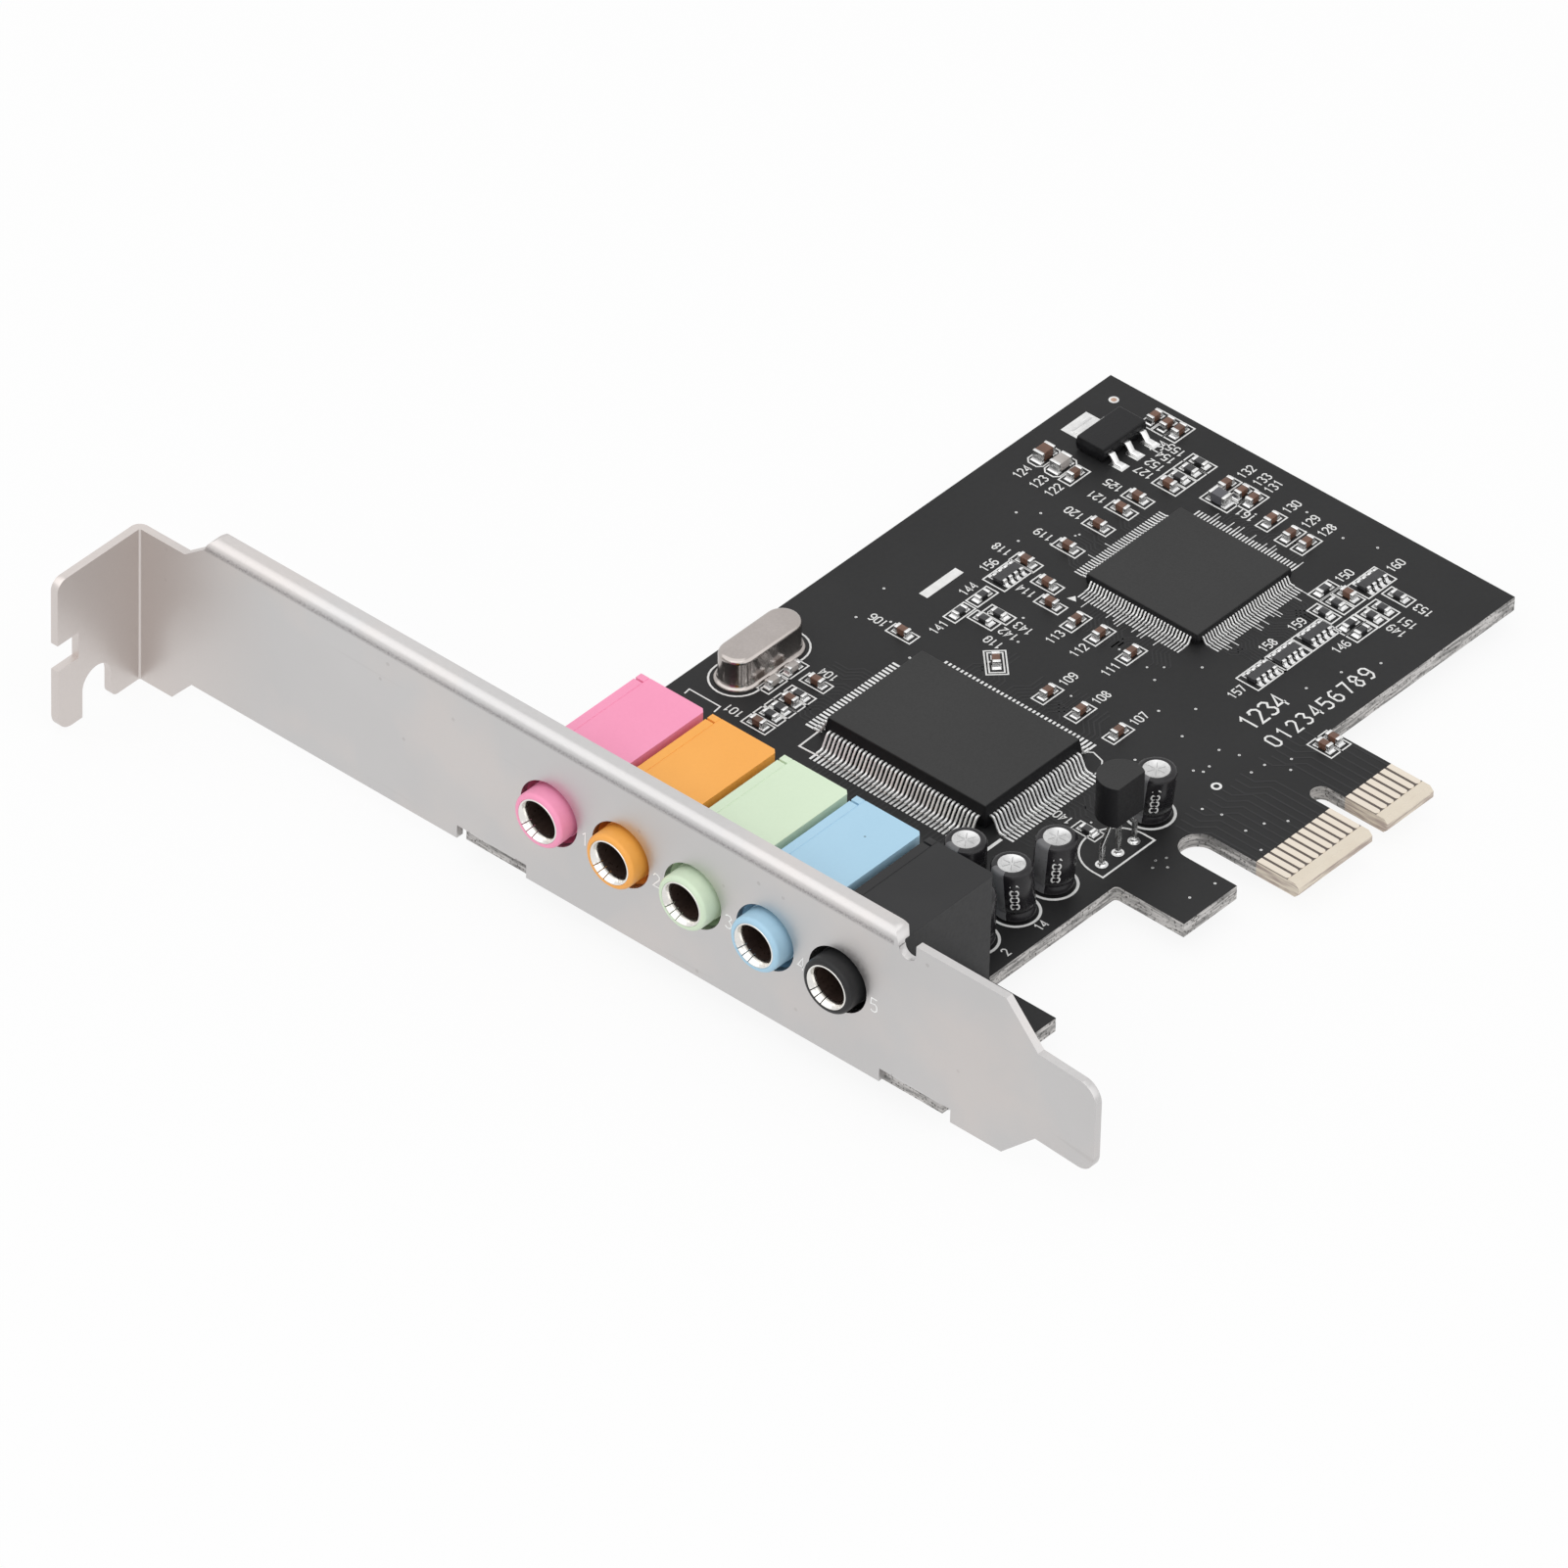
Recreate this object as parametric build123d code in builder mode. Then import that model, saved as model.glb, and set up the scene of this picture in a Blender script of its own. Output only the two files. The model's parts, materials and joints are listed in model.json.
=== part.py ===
from build123d import *
import os

# Sound card for a PCI Express x1 slot, in millimetres.
# X runs from the bracket's outer face into the computer, Y up the bracket towards its tab,
# and Z out of the board's component side, which lies at Z = 0.

# Bracket sheet
sheet = 0.86
bend_inside = 0.24
bracket_half = 60.01
plate_low = -0.80
plate_width = 18.42
neck_low = -3.64
neck_top = 14.52
neck_start = 55.0
lower_slope_start = 52.5
upper_slope_start = 50.8
upper_slope_end = 53.4
tongue_low = 3.05
tongue_width = 10.19
tongue_shoulder = -48.6
tongue_root = -52.6
tongue_corner = 2.0
tongue_kink = -52.5
tongue_lean = 0.45

# Flange along the bracket's component side
flange_reach = 2.2
flange_start = -35.7
flange_corner = 0.8
flange_end_round = 1.6
relief_slot = 2.0
relief_slot_low = 15.5

# Mounting tab, bent outward
tab_reach = 11.43
tab_outer_corner = 1.2
tab_lobe_corner = 2.0
key_slot_low = 3.9
key_slot_width = 3.1
key_slot_depth = 2.9
screw_notch_x = -6.0
screw_notch_width = 4.0
screw_notch_top = 1.5
screw_notch_flare = 1.0

# Lugs that the board is screwed to
lug_places = (-38.05, 14.4)
lug_width = 5.7
lug_reach = 8.6
lug_relief = 1.5
lug_relief_top = 0.75
lug_screw_x = 5.2

# Bracket screws
screw_r = 1.45
screw_head_r = 2.75
screw_head_height = 1.75
screw_head_edge = 0.6
screw_above_lug = 0.9

# Board
board_thickness = 1.6
board_near = 1.2
board_far = 94.53
board_top_edge = 18.61
main_edge = -32.05
near_foot_end = 17.3
near_foot_tip = -40.46
retainer_near = 35.79
retainer_far = 43.46
retainer_tip = -40.42
retainer_slot_end = -32.1
corner_r = 0.5

# Edge connector: two tongues with a key notch between
finger_pitch = 1.0
finger_width = 0.7
finger_margin = 0.05
long_tongue_near = 47.37
long_fingers = 11
short_fingers = 7
key_notch_steps = 3
tongue_tip = -44.7
tip_bevel = 0.45
key_notch_end = -36.4
finger_top = -39.5
finger_bottom = -43.3
finger_thickness = 0.05

# Jacks
jack_names = ("pink", "orange", "green", "blue", "black")
jack_first_y = 7.35
jack_pitch = 8.93
jack_axis_z = 8.46
jack_width = 8.1
jack_height = 12.69
jack_depth = 16.64
jack_corner = 0.4
barrel_r = 2.95
barrel_reach = 1.65
plug_r = 1.8
plug_depth = 14.0
sleeve_r = 2.4
sleeve_length = 7.0
bracket_hole_r = 3.55
lid_seam_from_side = 1.0
lid_seam_width = 0.15
lid_seam_depth = 0.2
lid_slit_width = 0.25
lid_slit_depth = 0.6
lid_slit_from_rear = 0.9

# Jack terminals, stamped from strip
strip = 0.25
pin_width = 0.9
pin_below_board = 0.85
spring_side = 2.9
spring_arm = 3.6
spring_height = 0.7
sleeve_pin_x = 3.4
ring_pin_x = 9.4
tip_pin_x = 14.2

# Large quad flat package
audio_x = 40.47
audio_y = -7.84
audio_body_x = 14.0
audio_body_y = 20.0
audio_body_height = 2.7
audio_standoff = 0.25
audio_leads_x = 26
audio_leads_y = 38
audio_pitch = 0.5
audio_lead_width = 0.22
audio_lead_thickness = 0.16
audio_lead_reach = 1.95
audio_foot = 0.8

# Thin quad flat package
bridge_x = 75.22
bridge_y = -7.59
bridge_body = 14.0
bridge_body_height = 1.25
bridge_standoff = 0.1
bridge_leads = 32
bridge_pitch = 0.4
bridge_lead_width = 0.18
bridge_lead_thickness = 0.14
bridge_lead_reach = 1.0
bridge_foot = 0.6

# Moulded packages
mould_draft = 8.0

# Voltage regulator
regulator_x = 86.62
regulator_y = 11.86
regulator_body_x = 6.5
regulator_body_y = 3.5
regulator_body_height = 1.6
regulator_standoff = 0.1
regulator_pitch = 2.3
regulator_lead_width = 0.72
regulator_tab_width = 3.0
regulator_lead_thickness = 0.28
regulator_lead_reach = 1.75
regulator_foot = 0.9

# Crystal
crystal_x = 38.22
crystal_y = 14.46
crystal_can_length = 10.2
crystal_can_width = 3.8
crystal_height = 3.5
crystal_rim_length = 11.0
crystal_rim_width = 4.6
crystal_rim = 0.45
crystal_edge = 0.4
crystal_lead_spacing = 4.88

# Electrolytic capacitors
capacitor_places = ((20.82, -27.34), (26.62, -27.44), (32.02, -27.44), (46.12, -27.44), (26.02, -21.74))
capacitor_r = 2.04
capacitor_height = 5.75
capacitor_base = 0.15
capacitor_edge = 0.4
capacitor_lead_spacing = 1.5

# Thin leads, drawn square
lead_side = 0.45
hole_clearance = 0.05

# Transistor on splayed leads
transistor_x = 39.6
transistor_y = -29.04
transistor_r = 2.35
transistor_flat = 1.35
transistor_low = 4.8
transistor_high = 9.5
transistor_pitch = 1.27
transistor_splay = 2.35
transistor_bend_low = 2.4
transistor_bend_high = 4.0

# Small parts soldered flat on the board
chip_length = 1.6
chip_width = 0.8
chip_capacitor_height = 0.8
chip_resistor_height = 0.5
chip_cap = 0.35
large_length = 2.0
large_width = 1.25
large_height = 1.1
array_length = 3.2
array_width = 1.6
array_height = 0.6
array_pitch = 0.8
array_cap = 0.3
array_cap_width = 0.45
part_lift = 0.04

capacitors_along_x = (
    (36.7, 11.4), (39.5, 11.4), (63.2, -3.7), (63.2, -6.7), (63.0, -10.8),
    (53.1, -8.8), (53.1, -12.9), (53.1, -17.6), (80.2, 11.0), (92.1, 11.0),
    (92.1, 9.4), (92.1, 7.9), (88.8, -0.8), (88.9, -2.7), (88.8, -4.2),
    (87.6, -7.5), (87.1, -10.3), (87.1, -12.3),
)
capacitors_along_y = (
    (31.1, 8.4), (35.7, 8.4), (39.5, 8.4), (50.7, 7.3), (66.9, 5.7), (65.7, 2.0),
    (63.6, -0.2), (71.3, 4.2), (75.8, 4.2), (79.2, 4.2), (81.6, 4.2), (85.1, 3.3),
    (83.8, -20.3), (64.7, -33.3), (66.1, -33.3),
)
resistors_along_x = ((56.8, 5.4), (60.1, 5.4), (82.9, -18.0), (80.5, -23.2), (80.5, -24.7))
resistors_along_y = (
    (32.9, 8.4), (34.2, 8.4), (37.0, 8.4), (57.5, 2.9), (59.1, 2.4), (86.7, 3.3),
    (88.3, 3.3), (89.8, 3.3), (80.2, -20.3), (82.1, -20.3), (82.9, -24.0),
    (84.5, -24.0), (87.0, -23.9), (40.1, -24.9),
)
slanted_capacitor = (53.4, -2.1)
large_capacitors = ((80.5, 15.1), (80.4, 12.9))
arrays_along_x = ((64.2, 5.7), (86.9, -20.6), (69.1, -21.8), (72.9, -21.8), (77.2, -21.8))
bead_place = (86.7, -1.8)

# Sizes that follow from those above
bend_outside = bend_inside + sheet
plate_top = plate_low + plate_width
relief_slot_turn = relief_slot_low + relief_slot / 2
tab_under = bracket_half - sheet
board_bottom = -board_thickness
pin_bottom = board_bottom - pin_below_board
finger_pad = finger_width + 2 * finger_margin
long_tongue_far = long_tongue_near + (long_fingers - 1) * finger_pitch + finger_pad
short_tongue_near = long_tongue_near + (long_fingers - 1 + key_notch_steps) * finger_pitch
short_tongue_far = short_tongue_near + (short_fingers - 1) * finger_pitch + finger_pad
finger_steps = list(range(long_fingers))
finger_steps += [long_fingers - 1 + key_notch_steps + step for step in range(short_fingers)]
finger_places = [long_tongue_near + finger_pad / 2 + step * finger_pitch for step in finger_steps]
jack_rows = [jack_first_y - number * jack_pitch for number in range(len(jack_names))]
jack_front = sheet
jack_rear = jack_front + jack_depth
jack_mouth = -barrel_reach
sleeve_end = jack_mouth + sleeve_length
plug_end = jack_mouth + plug_depth

os.makedirs("parts", exist_ok=True)


def write(piece, name):
    """Label a finished piece and write it to its own file."""
    piece.label = name
    export_step(piece, "parts/" + name + ".step")


def fold(edge, inward, reach, start, end):
    """Strip folded off the bracket's plate at height edge, from start to end along Y."""
    turn = edge + inward * bend_outside
    with BuildSketch(Plane.XZ.offset(-start)) as profile:
        with BuildLine():
            outer = CenterArc((bend_outside, turn), bend_outside, 180, 90 * inward)
            inner = CenterArc((bend_outside, turn), bend_inside, 180, 90 * inward)
            Polyline(outer @ 1, (reach, edge), (reach, edge + inward * sheet), inner @ 1)
            Line(inner @ 0, outer @ 0)
        make_face()
    extrude(profile.sketch, amount=start - end)


# Bracket
with BuildPart() as bracket:

    # Sheet bent at the tab and leaning out at the tongue, seen along Z
    with BuildSketch(Plane.XY.offset(neck_low - sheet)):
        with BuildLine():
            outer = CenterArc((-bend_inside, tab_under - bend_inside), bend_outside, 90, -90)
            inner = CenterArc((-bend_inside, tab_under - bend_inside), bend_inside, 90, -90)
            Polyline(
                outer @ 1,
                (sheet, tongue_kink),
                (sheet - tongue_lean, -bracket_half),
                (-tongue_lean, -bracket_half),
                (0, tongue_kink),
                inner @ 1,
            )
            Polyline(inner @ 0, (-tab_reach, tab_under), (-tab_reach, bracket_half), outer @ 0)
        make_face()
    extrude(amount=plate_width - neck_low + 2 * sheet)

    # Flat outline that the sheet is trimmed to, seen from the front
    with BuildSketch(Plane.YZ.offset(-tab_reach - sheet)):
        with BuildLine():
            Polyline(
                (-bracket_half, tongue_low),
                (tongue_root, tongue_low),
                (tongue_shoulder, plate_low),
                (lower_slope_start, plate_low),
                (neck_start, neck_low),
                (bracket_half + sheet, neck_low),
                (bracket_half + sheet, neck_top),
                (upper_slope_end, neck_top),
                (upper_slope_start, plate_top - bend_outside),
                (flange_start, plate_top - bend_outside),
                (flange_start, relief_slot_turn),
                (flange_start - relief_slot, relief_slot_turn),
                (flange_start - relief_slot, plate_top),
                (tongue_shoulder, plate_top),
                (tongue_root, tongue_low + tongue_width),
                (-bracket_half, tongue_low + tongue_width),
                close=True,
            )
        outline = make_face()
        fillet(outline.vertices().group_by(Axis.X)[0], tongue_corner)
        with Locations((flange_start - relief_slot / 2, relief_slot_turn)):
            Circle(relief_slot / 2, mode=Mode.SUBTRACT)
    extrude(amount=tab_reach + 3 * sheet, mode=Mode.INTERSECT)

    # Flange with its two free corners cut back and its ends rounded towards the plate
    fold(plate_top, -1, flange_reach, flange_start, upper_slope_start)
    chamfer(bracket.edges().filter_by(Axis.Z).group_by(Axis.X)[-1], flange_corner)
    with BuildSketch(Plane.YZ):
        for end, inward, radius in (
            (flange_start, 1, flange_end_round),
            (upper_slope_start, -1, bend_outside),
        ):
            with BuildLine():
                centre = (end + inward * radius, plate_top - radius)
                rounding = CenterArc(centre, radius, 90, 90 * inward)
                Polyline(rounding @ 1, (end, plate_top), rounding @ 0)
            make_face()
    extrude(amount=flange_reach, mode=Mode.SUBTRACT)

    # Lug places with a relief at each side, and the lugs
    with BuildSketch(Plane.YZ):
        for place in lug_places:
            with Locations((place, lug_relief_top)):
                Rectangle(lug_width + 2 * lug_relief, 2 * plate_width, align=(Align.CENTER, Align.MAX))
            with Locations((place, bend_outside)):
                Rectangle(lug_width, bend_outside, align=(Align.CENTER, Align.MAX))
    extrude(amount=sheet, mode=Mode.SUBTRACT)
    for place in lug_places:
        fold(0, 1, lug_reach, place - lug_width / 2, place + lug_width / 2)
    chamfer(bracket.edges().filter_by(Axis.Z).group_by(Axis.X)[-1], flange_corner)
    with BuildSketch(Plane.XY):
        with Locations(*[(lug_screw_x, place) for place in lug_places]):
            Circle(screw_r + hole_clearance)
    extrude(amount=sheet, mode=Mode.SUBTRACT)

    # Jack holes
    with BuildSketch(Plane.YZ):
        with Locations(*[(row, jack_axis_z) for row in jack_rows]):
            Circle(bracket_hole_r)
    extrude(amount=sheet, mode=Mode.SUBTRACT)

    # Key slot and screw notch of the tab, the notch flared at its inner side
    with BuildSketch(Plane.XZ.offset(-tab_under)):
        with Locations((-tab_reach, key_slot_low)):
            Rectangle(key_slot_depth, key_slot_width, align=(Align.MIN, Align.MIN))
        notch_r = screw_notch_width / 2
        notch_centre = screw_notch_top - notch_r
        with BuildLine():
            round_end = CenterArc((screw_notch_x, notch_centre), notch_r, 0, 180)
            flare_centre = (screw_notch_x + notch_r + screw_notch_flare, neck_low + screw_notch_flare)
            flare = CenterArc(flare_centre, screw_notch_flare, 180, 90)
            Line(round_end @ 0, flare @ 0)
            Polyline(
                flare @ 1,
                (flare_centre[0], neck_low - sheet),
                (screw_notch_x - notch_r, neck_low - sheet),
                round_end @ 1,
            )
        make_face()
    extrude(amount=-sheet, mode=Mode.SUBTRACT)
    tab_end = bracket.edges().filter_by(Axis.Y).group_by(Axis.X)[0].sort_by(Axis.Z)
    fillet(tab_end[-1], tab_outer_corner)
    tab_end = bracket.edges().filter_by(Axis.Y).group_by(Axis.X)[0].sort_by(Axis.Z)
    fillet(tab_end[0], tab_lobe_corner)
write(bracket.part, "bracket")

# Screws that hold the board to the lugs, heads on the solder side
with BuildPart() as bracket_screws:
    with BuildSketch(Plane.XY.offset(board_bottom - screw_head_height)):
        with Locations(*[(lug_screw_x, place) for place in lug_places]):
            Circle(screw_head_r)
    extrude(amount=screw_head_height)
    chamfer(bracket_screws.edges().group_by(Axis.Z)[0], screw_head_edge)
    with BuildSketch(Plane.XY.offset(board_bottom)):
        with Locations(*[(lug_screw_x, place) for place in lug_places]):
            Circle(screw_r)
    extrude(amount=board_thickness + sheet + screw_above_lug)
write(bracket_screws.part, "bracket_screws")


def jack_pins(row):
    """Places of a jack's three pins: for the sleeve, the ring spring and the tip spring."""
    return [(sleeve_pin_x, row), (ring_pin_x, row + spring_side), (tip_pin_x, row - spring_side)]


capacitor_leads_at = [
    (x + side * capacitor_lead_spacing / 2, y) for x, y in capacitor_places for side in (-1, 1)
]
crystal_leads_at = [(crystal_x + side * crystal_lead_spacing / 2, crystal_y) for side in (-1, 1)]
transistor_leads_at = [(transistor_x + side * transistor_splay, transistor_y) for side in (-1, 0, 1)]

# Circuit board
with BuildPart() as circuit_board:
    with BuildSketch(Plane.XY.offset(board_bottom)):
        key_middle = (short_tongue_near + long_tongue_far) / 2
        key_r = (short_tongue_near - long_tongue_far) / 2
        slot_middle = (long_tongue_near + retainer_far) / 2
        slot_r = (long_tongue_near - retainer_far) / 2
        with BuildLine():
            key_arc = CenterArc((key_middle, key_notch_end - key_r), key_r, 0, 180)
            slot_arc = CenterArc((slot_middle, retainer_slot_end - slot_r), slot_r, 0, 180)
            Polyline(
                slot_arc @ 1,
                (retainer_far, retainer_tip),
                (retainer_near, retainer_tip),
                (retainer_near, main_edge),
                (near_foot_end, main_edge),
                (near_foot_end, near_foot_tip),
                (board_near, near_foot_tip),
                (board_near, board_top_edge),
                (board_far, board_top_edge),
                (board_far, main_edge),
                (short_tongue_far, main_edge),
                (short_tongue_far, tongue_tip),
                (short_tongue_near, tongue_tip),
                key_arc @ 0,
            )
            Polyline(
                key_arc @ 1,
                (long_tongue_far, tongue_tip),
                (long_tongue_near, tongue_tip),
                slot_arc @ 0,
            )
        outline = make_face()
        inner_corners = outline.vertices().sort_by_distance((retainer_near, main_edge))[:1]
        inner_corners += outline.vertices().sort_by_distance((near_foot_end, main_edge))[:1]
        fillet(inner_corners, corner_r)
        with Locations(*[(lug_screw_x, place) for place in lug_places]):
            Circle(screw_r + 2 * hole_clearance, mode=Mode.SUBTRACT)
        with Locations(*[pin for row in jack_rows for pin in jack_pins(row)]):
            Rectangle(pin_width + hole_clearance, strip + hole_clearance, mode=Mode.SUBTRACT)
        with Locations(*capacitor_leads_at, *crystal_leads_at, *transistor_leads_at):
            Rectangle(lead_side + hole_clearance, lead_side + hole_clearance, mode=Mode.SUBTRACT)
    extrude(amount=board_thickness)
    chamfer(circuit_board.edges().filter_by(Axis.X).group_by(Axis.Y)[0], tip_bevel)
write(circuit_board.part, "circuit_board")

# Edge contacts on both sides of the tongues
finger_middle = (finger_top + finger_bottom) / 2
with BuildPart() as contacts_component_side:
    with Locations(*[(x, finger_middle, 0) for x in finger_places]):
        Box(
            finger_width,
            finger_top - finger_bottom,
            finger_thickness,
            align=(Align.CENTER, Align.CENTER, Align.MIN),
        )
write(contacts_component_side.part, "contacts_component_side")
with BuildPart() as contacts_solder_side:
    with Locations(*[(x, finger_middle, board_bottom) for x in finger_places]):
        Box(
            finger_width,
            finger_top - finger_bottom,
            finger_thickness,
            align=(Align.CENTER, Align.CENTER, Align.MAX),
        )
write(contacts_solder_side.part, "contacts_solder_side")


def spring_outline(pin_x, row, side):
    """Outline of a spring arm seen along Z: a strip that dips to the plug and flares at its end."""
    crest = plug_r + 0.5 * strip + hole_clearance
    middle = [
        (pin_x, spring_side),
        (pin_x - pin_width / 2, spring_side),
        (pin_x - 0.75 * spring_arm, crest),
        (pin_x - spring_arm, crest + strip),
    ]
    outer = [(x, row + side * (y + strip / 2)) for x, y in middle]
    inner = [(x, row + side * (y - strip / 2)) for x, y in middle]
    return outer + inner[::-1]


# Jacks: moulded housing, bright sleeve, and stamped terminals
for jack_name, row in zip(jack_names, jack_rows):
    pins = jack_pins(row)
    springs = ((ring_pin_x, 1), (tip_pin_x, -1))

    with BuildPart() as housing:
        with BuildSketch():
            with Locations((jack_front, row)):
                Rectangle(jack_depth, jack_width, align=(Align.MIN, Align.CENTER))
            corners = vertices().group_by(Axis.X)[-1].sort_by(Axis.Y)
            chamfer(corners[0], jack_corner)
        extrude(amount=jack_height)

        # Barrel with the sleeve's seat and the plug's bore
        with BuildSketch(Plane.YZ.offset(jack_mouth)):
            with Locations((row, jack_axis_z)):
                Circle(barrel_r)
        extrude(amount=barrel_reach + jack_front)
        with BuildSketch(Plane.YZ.offset(jack_mouth)):
            with Locations((row, jack_axis_z)):
                Circle(sleeve_r)
        extrude(amount=sleeve_length, mode=Mode.SUBTRACT)
        with BuildSketch(Plane.YZ.offset(sleeve_end)):
            with Locations((row, jack_axis_z)):
                Circle(plug_r)
        extrude(amount=plug_end - sleeve_end, mode=Mode.SUBTRACT)

        # Seam of the lid along the tab side of the top, and the slit that crosses to it at the rear
        with BuildSketch(Plane.XY.offset(jack_height)):
            with Locations((jack_front, row + jack_width / 2 - lid_seam_from_side)):
                Rectangle(jack_depth, lid_seam_width, align=(Align.MIN, Align.MAX))
        extrude(amount=-lid_seam_depth, mode=Mode.SUBTRACT)
        with BuildSketch(Plane.XY.offset(jack_height)):
            with Locations((jack_rear - lid_slit_from_rear, row + jack_width / 2)):
                Rectangle(lid_slit_width, lid_seam_from_side, align=(Align.CENTER, Align.MAX))
        extrude(amount=-lid_slit_depth, mode=Mode.SUBTRACT)

        # Slots for the pins, and pockets in which the springs give way to the plug
        pin_tops = [jack_axis_z - sleeve_r, jack_axis_z, jack_axis_z]
        for pin, top in zip(pins, pin_tops):
            with BuildSketch():
                with Locations(pin):
                    Rectangle(pin_width + hole_clearance, strip + hole_clearance)
            extrude(amount=top, mode=Mode.SUBTRACT)
        for pin_x, side in springs:
            pocket_end = pin_x + pin_width / 2 + hole_clearance
            pocket_side = spring_side + strip / 2 + hole_clearance
            with BuildSketch(Plane.XY.offset(jack_axis_z)):
                with Locations((pocket_end - (spring_arm + pin_width) / 2, row + side * pocket_side / 2)):
                    Rectangle(spring_arm + pin_width, pocket_side)
            extrude(amount=spring_height / 2 + 2 * hole_clearance, both=True, mode=Mode.SUBTRACT)
    write(housing.part, "jack_housing_" + jack_name)

    with BuildPart() as sleeve:
        with BuildSketch(Plane.YZ.offset(jack_mouth)):
            with Locations((row, jack_axis_z)):
                Circle(sleeve_r)
                Circle(plug_r, mode=Mode.SUBTRACT)
        extrude(amount=sleeve_length)
    write(sleeve.part, "jack_sleeve_" + jack_name)

    with BuildPart() as terminals:
        spring_top = jack_axis_z + spring_height / 2
        terminal_tops = [jack_axis_z - sleeve_r, spring_top, spring_top]
        for pin, top in zip(pins, terminal_tops):
            with BuildSketch(Plane.XY.offset(pin_bottom)):
                with Locations(pin):
                    Rectangle(pin_width, strip)
            extrude(amount=top - pin_bottom)
        for pin_x, side in springs:
            with BuildSketch(Plane.XY.offset(jack_axis_z)):
                with BuildLine():
                    Polyline(spring_outline(pin_x, row, side), close=True)
                make_face()
            extrude(amount=spring_height / 2, both=True)
    write(terminals.part, "jack_terminals_" + jack_name)


def moulded_body(x, y, length_x, length_y, low, height, band_low, band):
    """Moulded package whose sides draft away from the band where its leads come out."""
    with BuildPart() as body:
        with BuildSketch(Plane.XY.offset(band_low + band)):
            with Locations((x, y)):
                Rectangle(length_x, length_y)
        extrude(amount=low + height - band_low - band, taper=mould_draft)
        with BuildSketch(Plane.XY.offset(band_low)):
            with Locations((x, y)):
                Rectangle(length_x, length_y)
        extrude(amount=band)
        with BuildSketch(Plane((x, y, band_low), x_dir=(1, 0, 0), z_dir=(0, 0, -1))):
            Rectangle(length_x, length_y)
        extrude(amount=band_low - low, taper=mould_draft)
    return body.part


def side_planes(x, y, half_x, half_y, count_x, count_y, pitch):
    """One plane for each lead of a four-sided package, X outward and Y up the lead's side."""
    planes = []
    for side in (-1, 1):
        for number in range(count_y):
            along = (number - (count_y - 1) / 2) * pitch
            planes.append(Plane((x + side * half_x, y + along, 0), x_dir=(side, 0, 0), z_dir=(0, -side, 0)))
        for number in range(count_x):
            along = (number - (count_x - 1) / 2) * pitch
            planes.append(Plane((x + along, y + side * half_y, 0), x_dir=(0, side, 0), z_dir=(side, 0, 0)))
    return planes


def gull_wings(planes, height, reach, foot, thickness, width, shoulder=0):
    """Gull-wing leads: out of the package, on a shoulder if any, a slope down, and a foot on the board."""
    upper = [(0, height + thickness)]
    lower = [(0, height)]
    if shoulder > 0:
        upper += [(shoulder + thickness / 2, height + thickness)]
        lower += [(shoulder, height)]
    upper += [(reach - foot + thickness / 2, thickness), (reach, thickness)]
    lower += [(reach - foot, 0), (reach, 0)]
    with BuildPart() as leads:
        with BuildSketch(*planes):
            with BuildLine():
                Polyline(upper + lower[::-1], close=True)
            make_face()
        extrude(amount=width / 2, both=True)
    return leads.part


# Large quad flat package
audio_band = audio_standoff + (audio_body_height - audio_lead_thickness) / 2
audio_body = moulded_body(
    audio_x,
    audio_y,
    audio_body_x,
    audio_body_y,
    audio_standoff,
    audio_body_height,
    audio_band,
    audio_lead_thickness,
)
write(audio_body, "audio_chip_body")
audio_planes = side_planes(
    audio_x,
    audio_y,
    audio_body_x / 2,
    audio_body_y / 2,
    audio_leads_x,
    audio_leads_y,
    audio_pitch,
)
audio_leads = gull_wings(
    audio_planes,
    audio_band,
    audio_lead_reach,
    audio_foot,
    audio_lead_thickness,
    audio_lead_width,
    2 * audio_lead_thickness,
)
write(audio_leads, "audio_chip_leads")

# Thin quad flat package
bridge_band = bridge_standoff + (bridge_body_height - bridge_lead_thickness) / 2
bridge_chip = moulded_body(
    bridge_x,
    bridge_y,
    bridge_body,
    bridge_body,
    bridge_standoff,
    bridge_body_height,
    bridge_band,
    bridge_lead_thickness,
)
write(bridge_chip, "bridge_chip_body")
bridge_planes = side_planes(
    bridge_x,
    bridge_y,
    bridge_body / 2,
    bridge_body / 2,
    bridge_leads,
    bridge_leads,
    bridge_pitch,
)
bridge_chip_leads = gull_wings(
    bridge_planes,
    bridge_band,
    bridge_lead_reach,
    bridge_foot,
    bridge_lead_thickness,
    bridge_lead_width,
)
write(bridge_chip_leads, "bridge_chip_leads")

# Voltage regulator: three leads on one side and its wide heat tab on the other
regulator_band = regulator_standoff + (regulator_body_height - regulator_lead_thickness) / 2
regulator_body = moulded_body(
    regulator_x,
    regulator_y,
    regulator_body_x,
    regulator_body_y,
    regulator_standoff,
    regulator_body_height,
    regulator_band,
    regulator_lead_thickness,
)
write(regulator_body, "regulator_body")
regulator_near_y = regulator_y - regulator_body_y / 2
regulator_planes = [
    Plane((regulator_x + step * regulator_pitch, regulator_near_y, 0), x_dir=(0, -1, 0), z_dir=(-1, 0, 0))
    for step in (-1, 0, 1)
]
regulator_leads = gull_wings(
    regulator_planes,
    regulator_band,
    regulator_lead_reach,
    regulator_foot,
    regulator_lead_thickness,
    regulator_lead_width,
    regulator_lead_thickness,
)
regulator_tab_plane = Plane(
    (regulator_x, regulator_y + regulator_body_y / 2, 0), x_dir=(0, 1, 0), z_dir=(1, 0, 0)
)
regulator_tab = gull_wings(
    [regulator_tab_plane],
    regulator_band,
    regulator_lead_reach,
    regulator_foot,
    regulator_lead_thickness,
    regulator_tab_width,
    regulator_lead_thickness,
)
with BuildPart() as regulator_metal:
    add(regulator_leads)
    add(regulator_tab)
write(regulator_metal.part, "regulator_leads")

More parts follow.
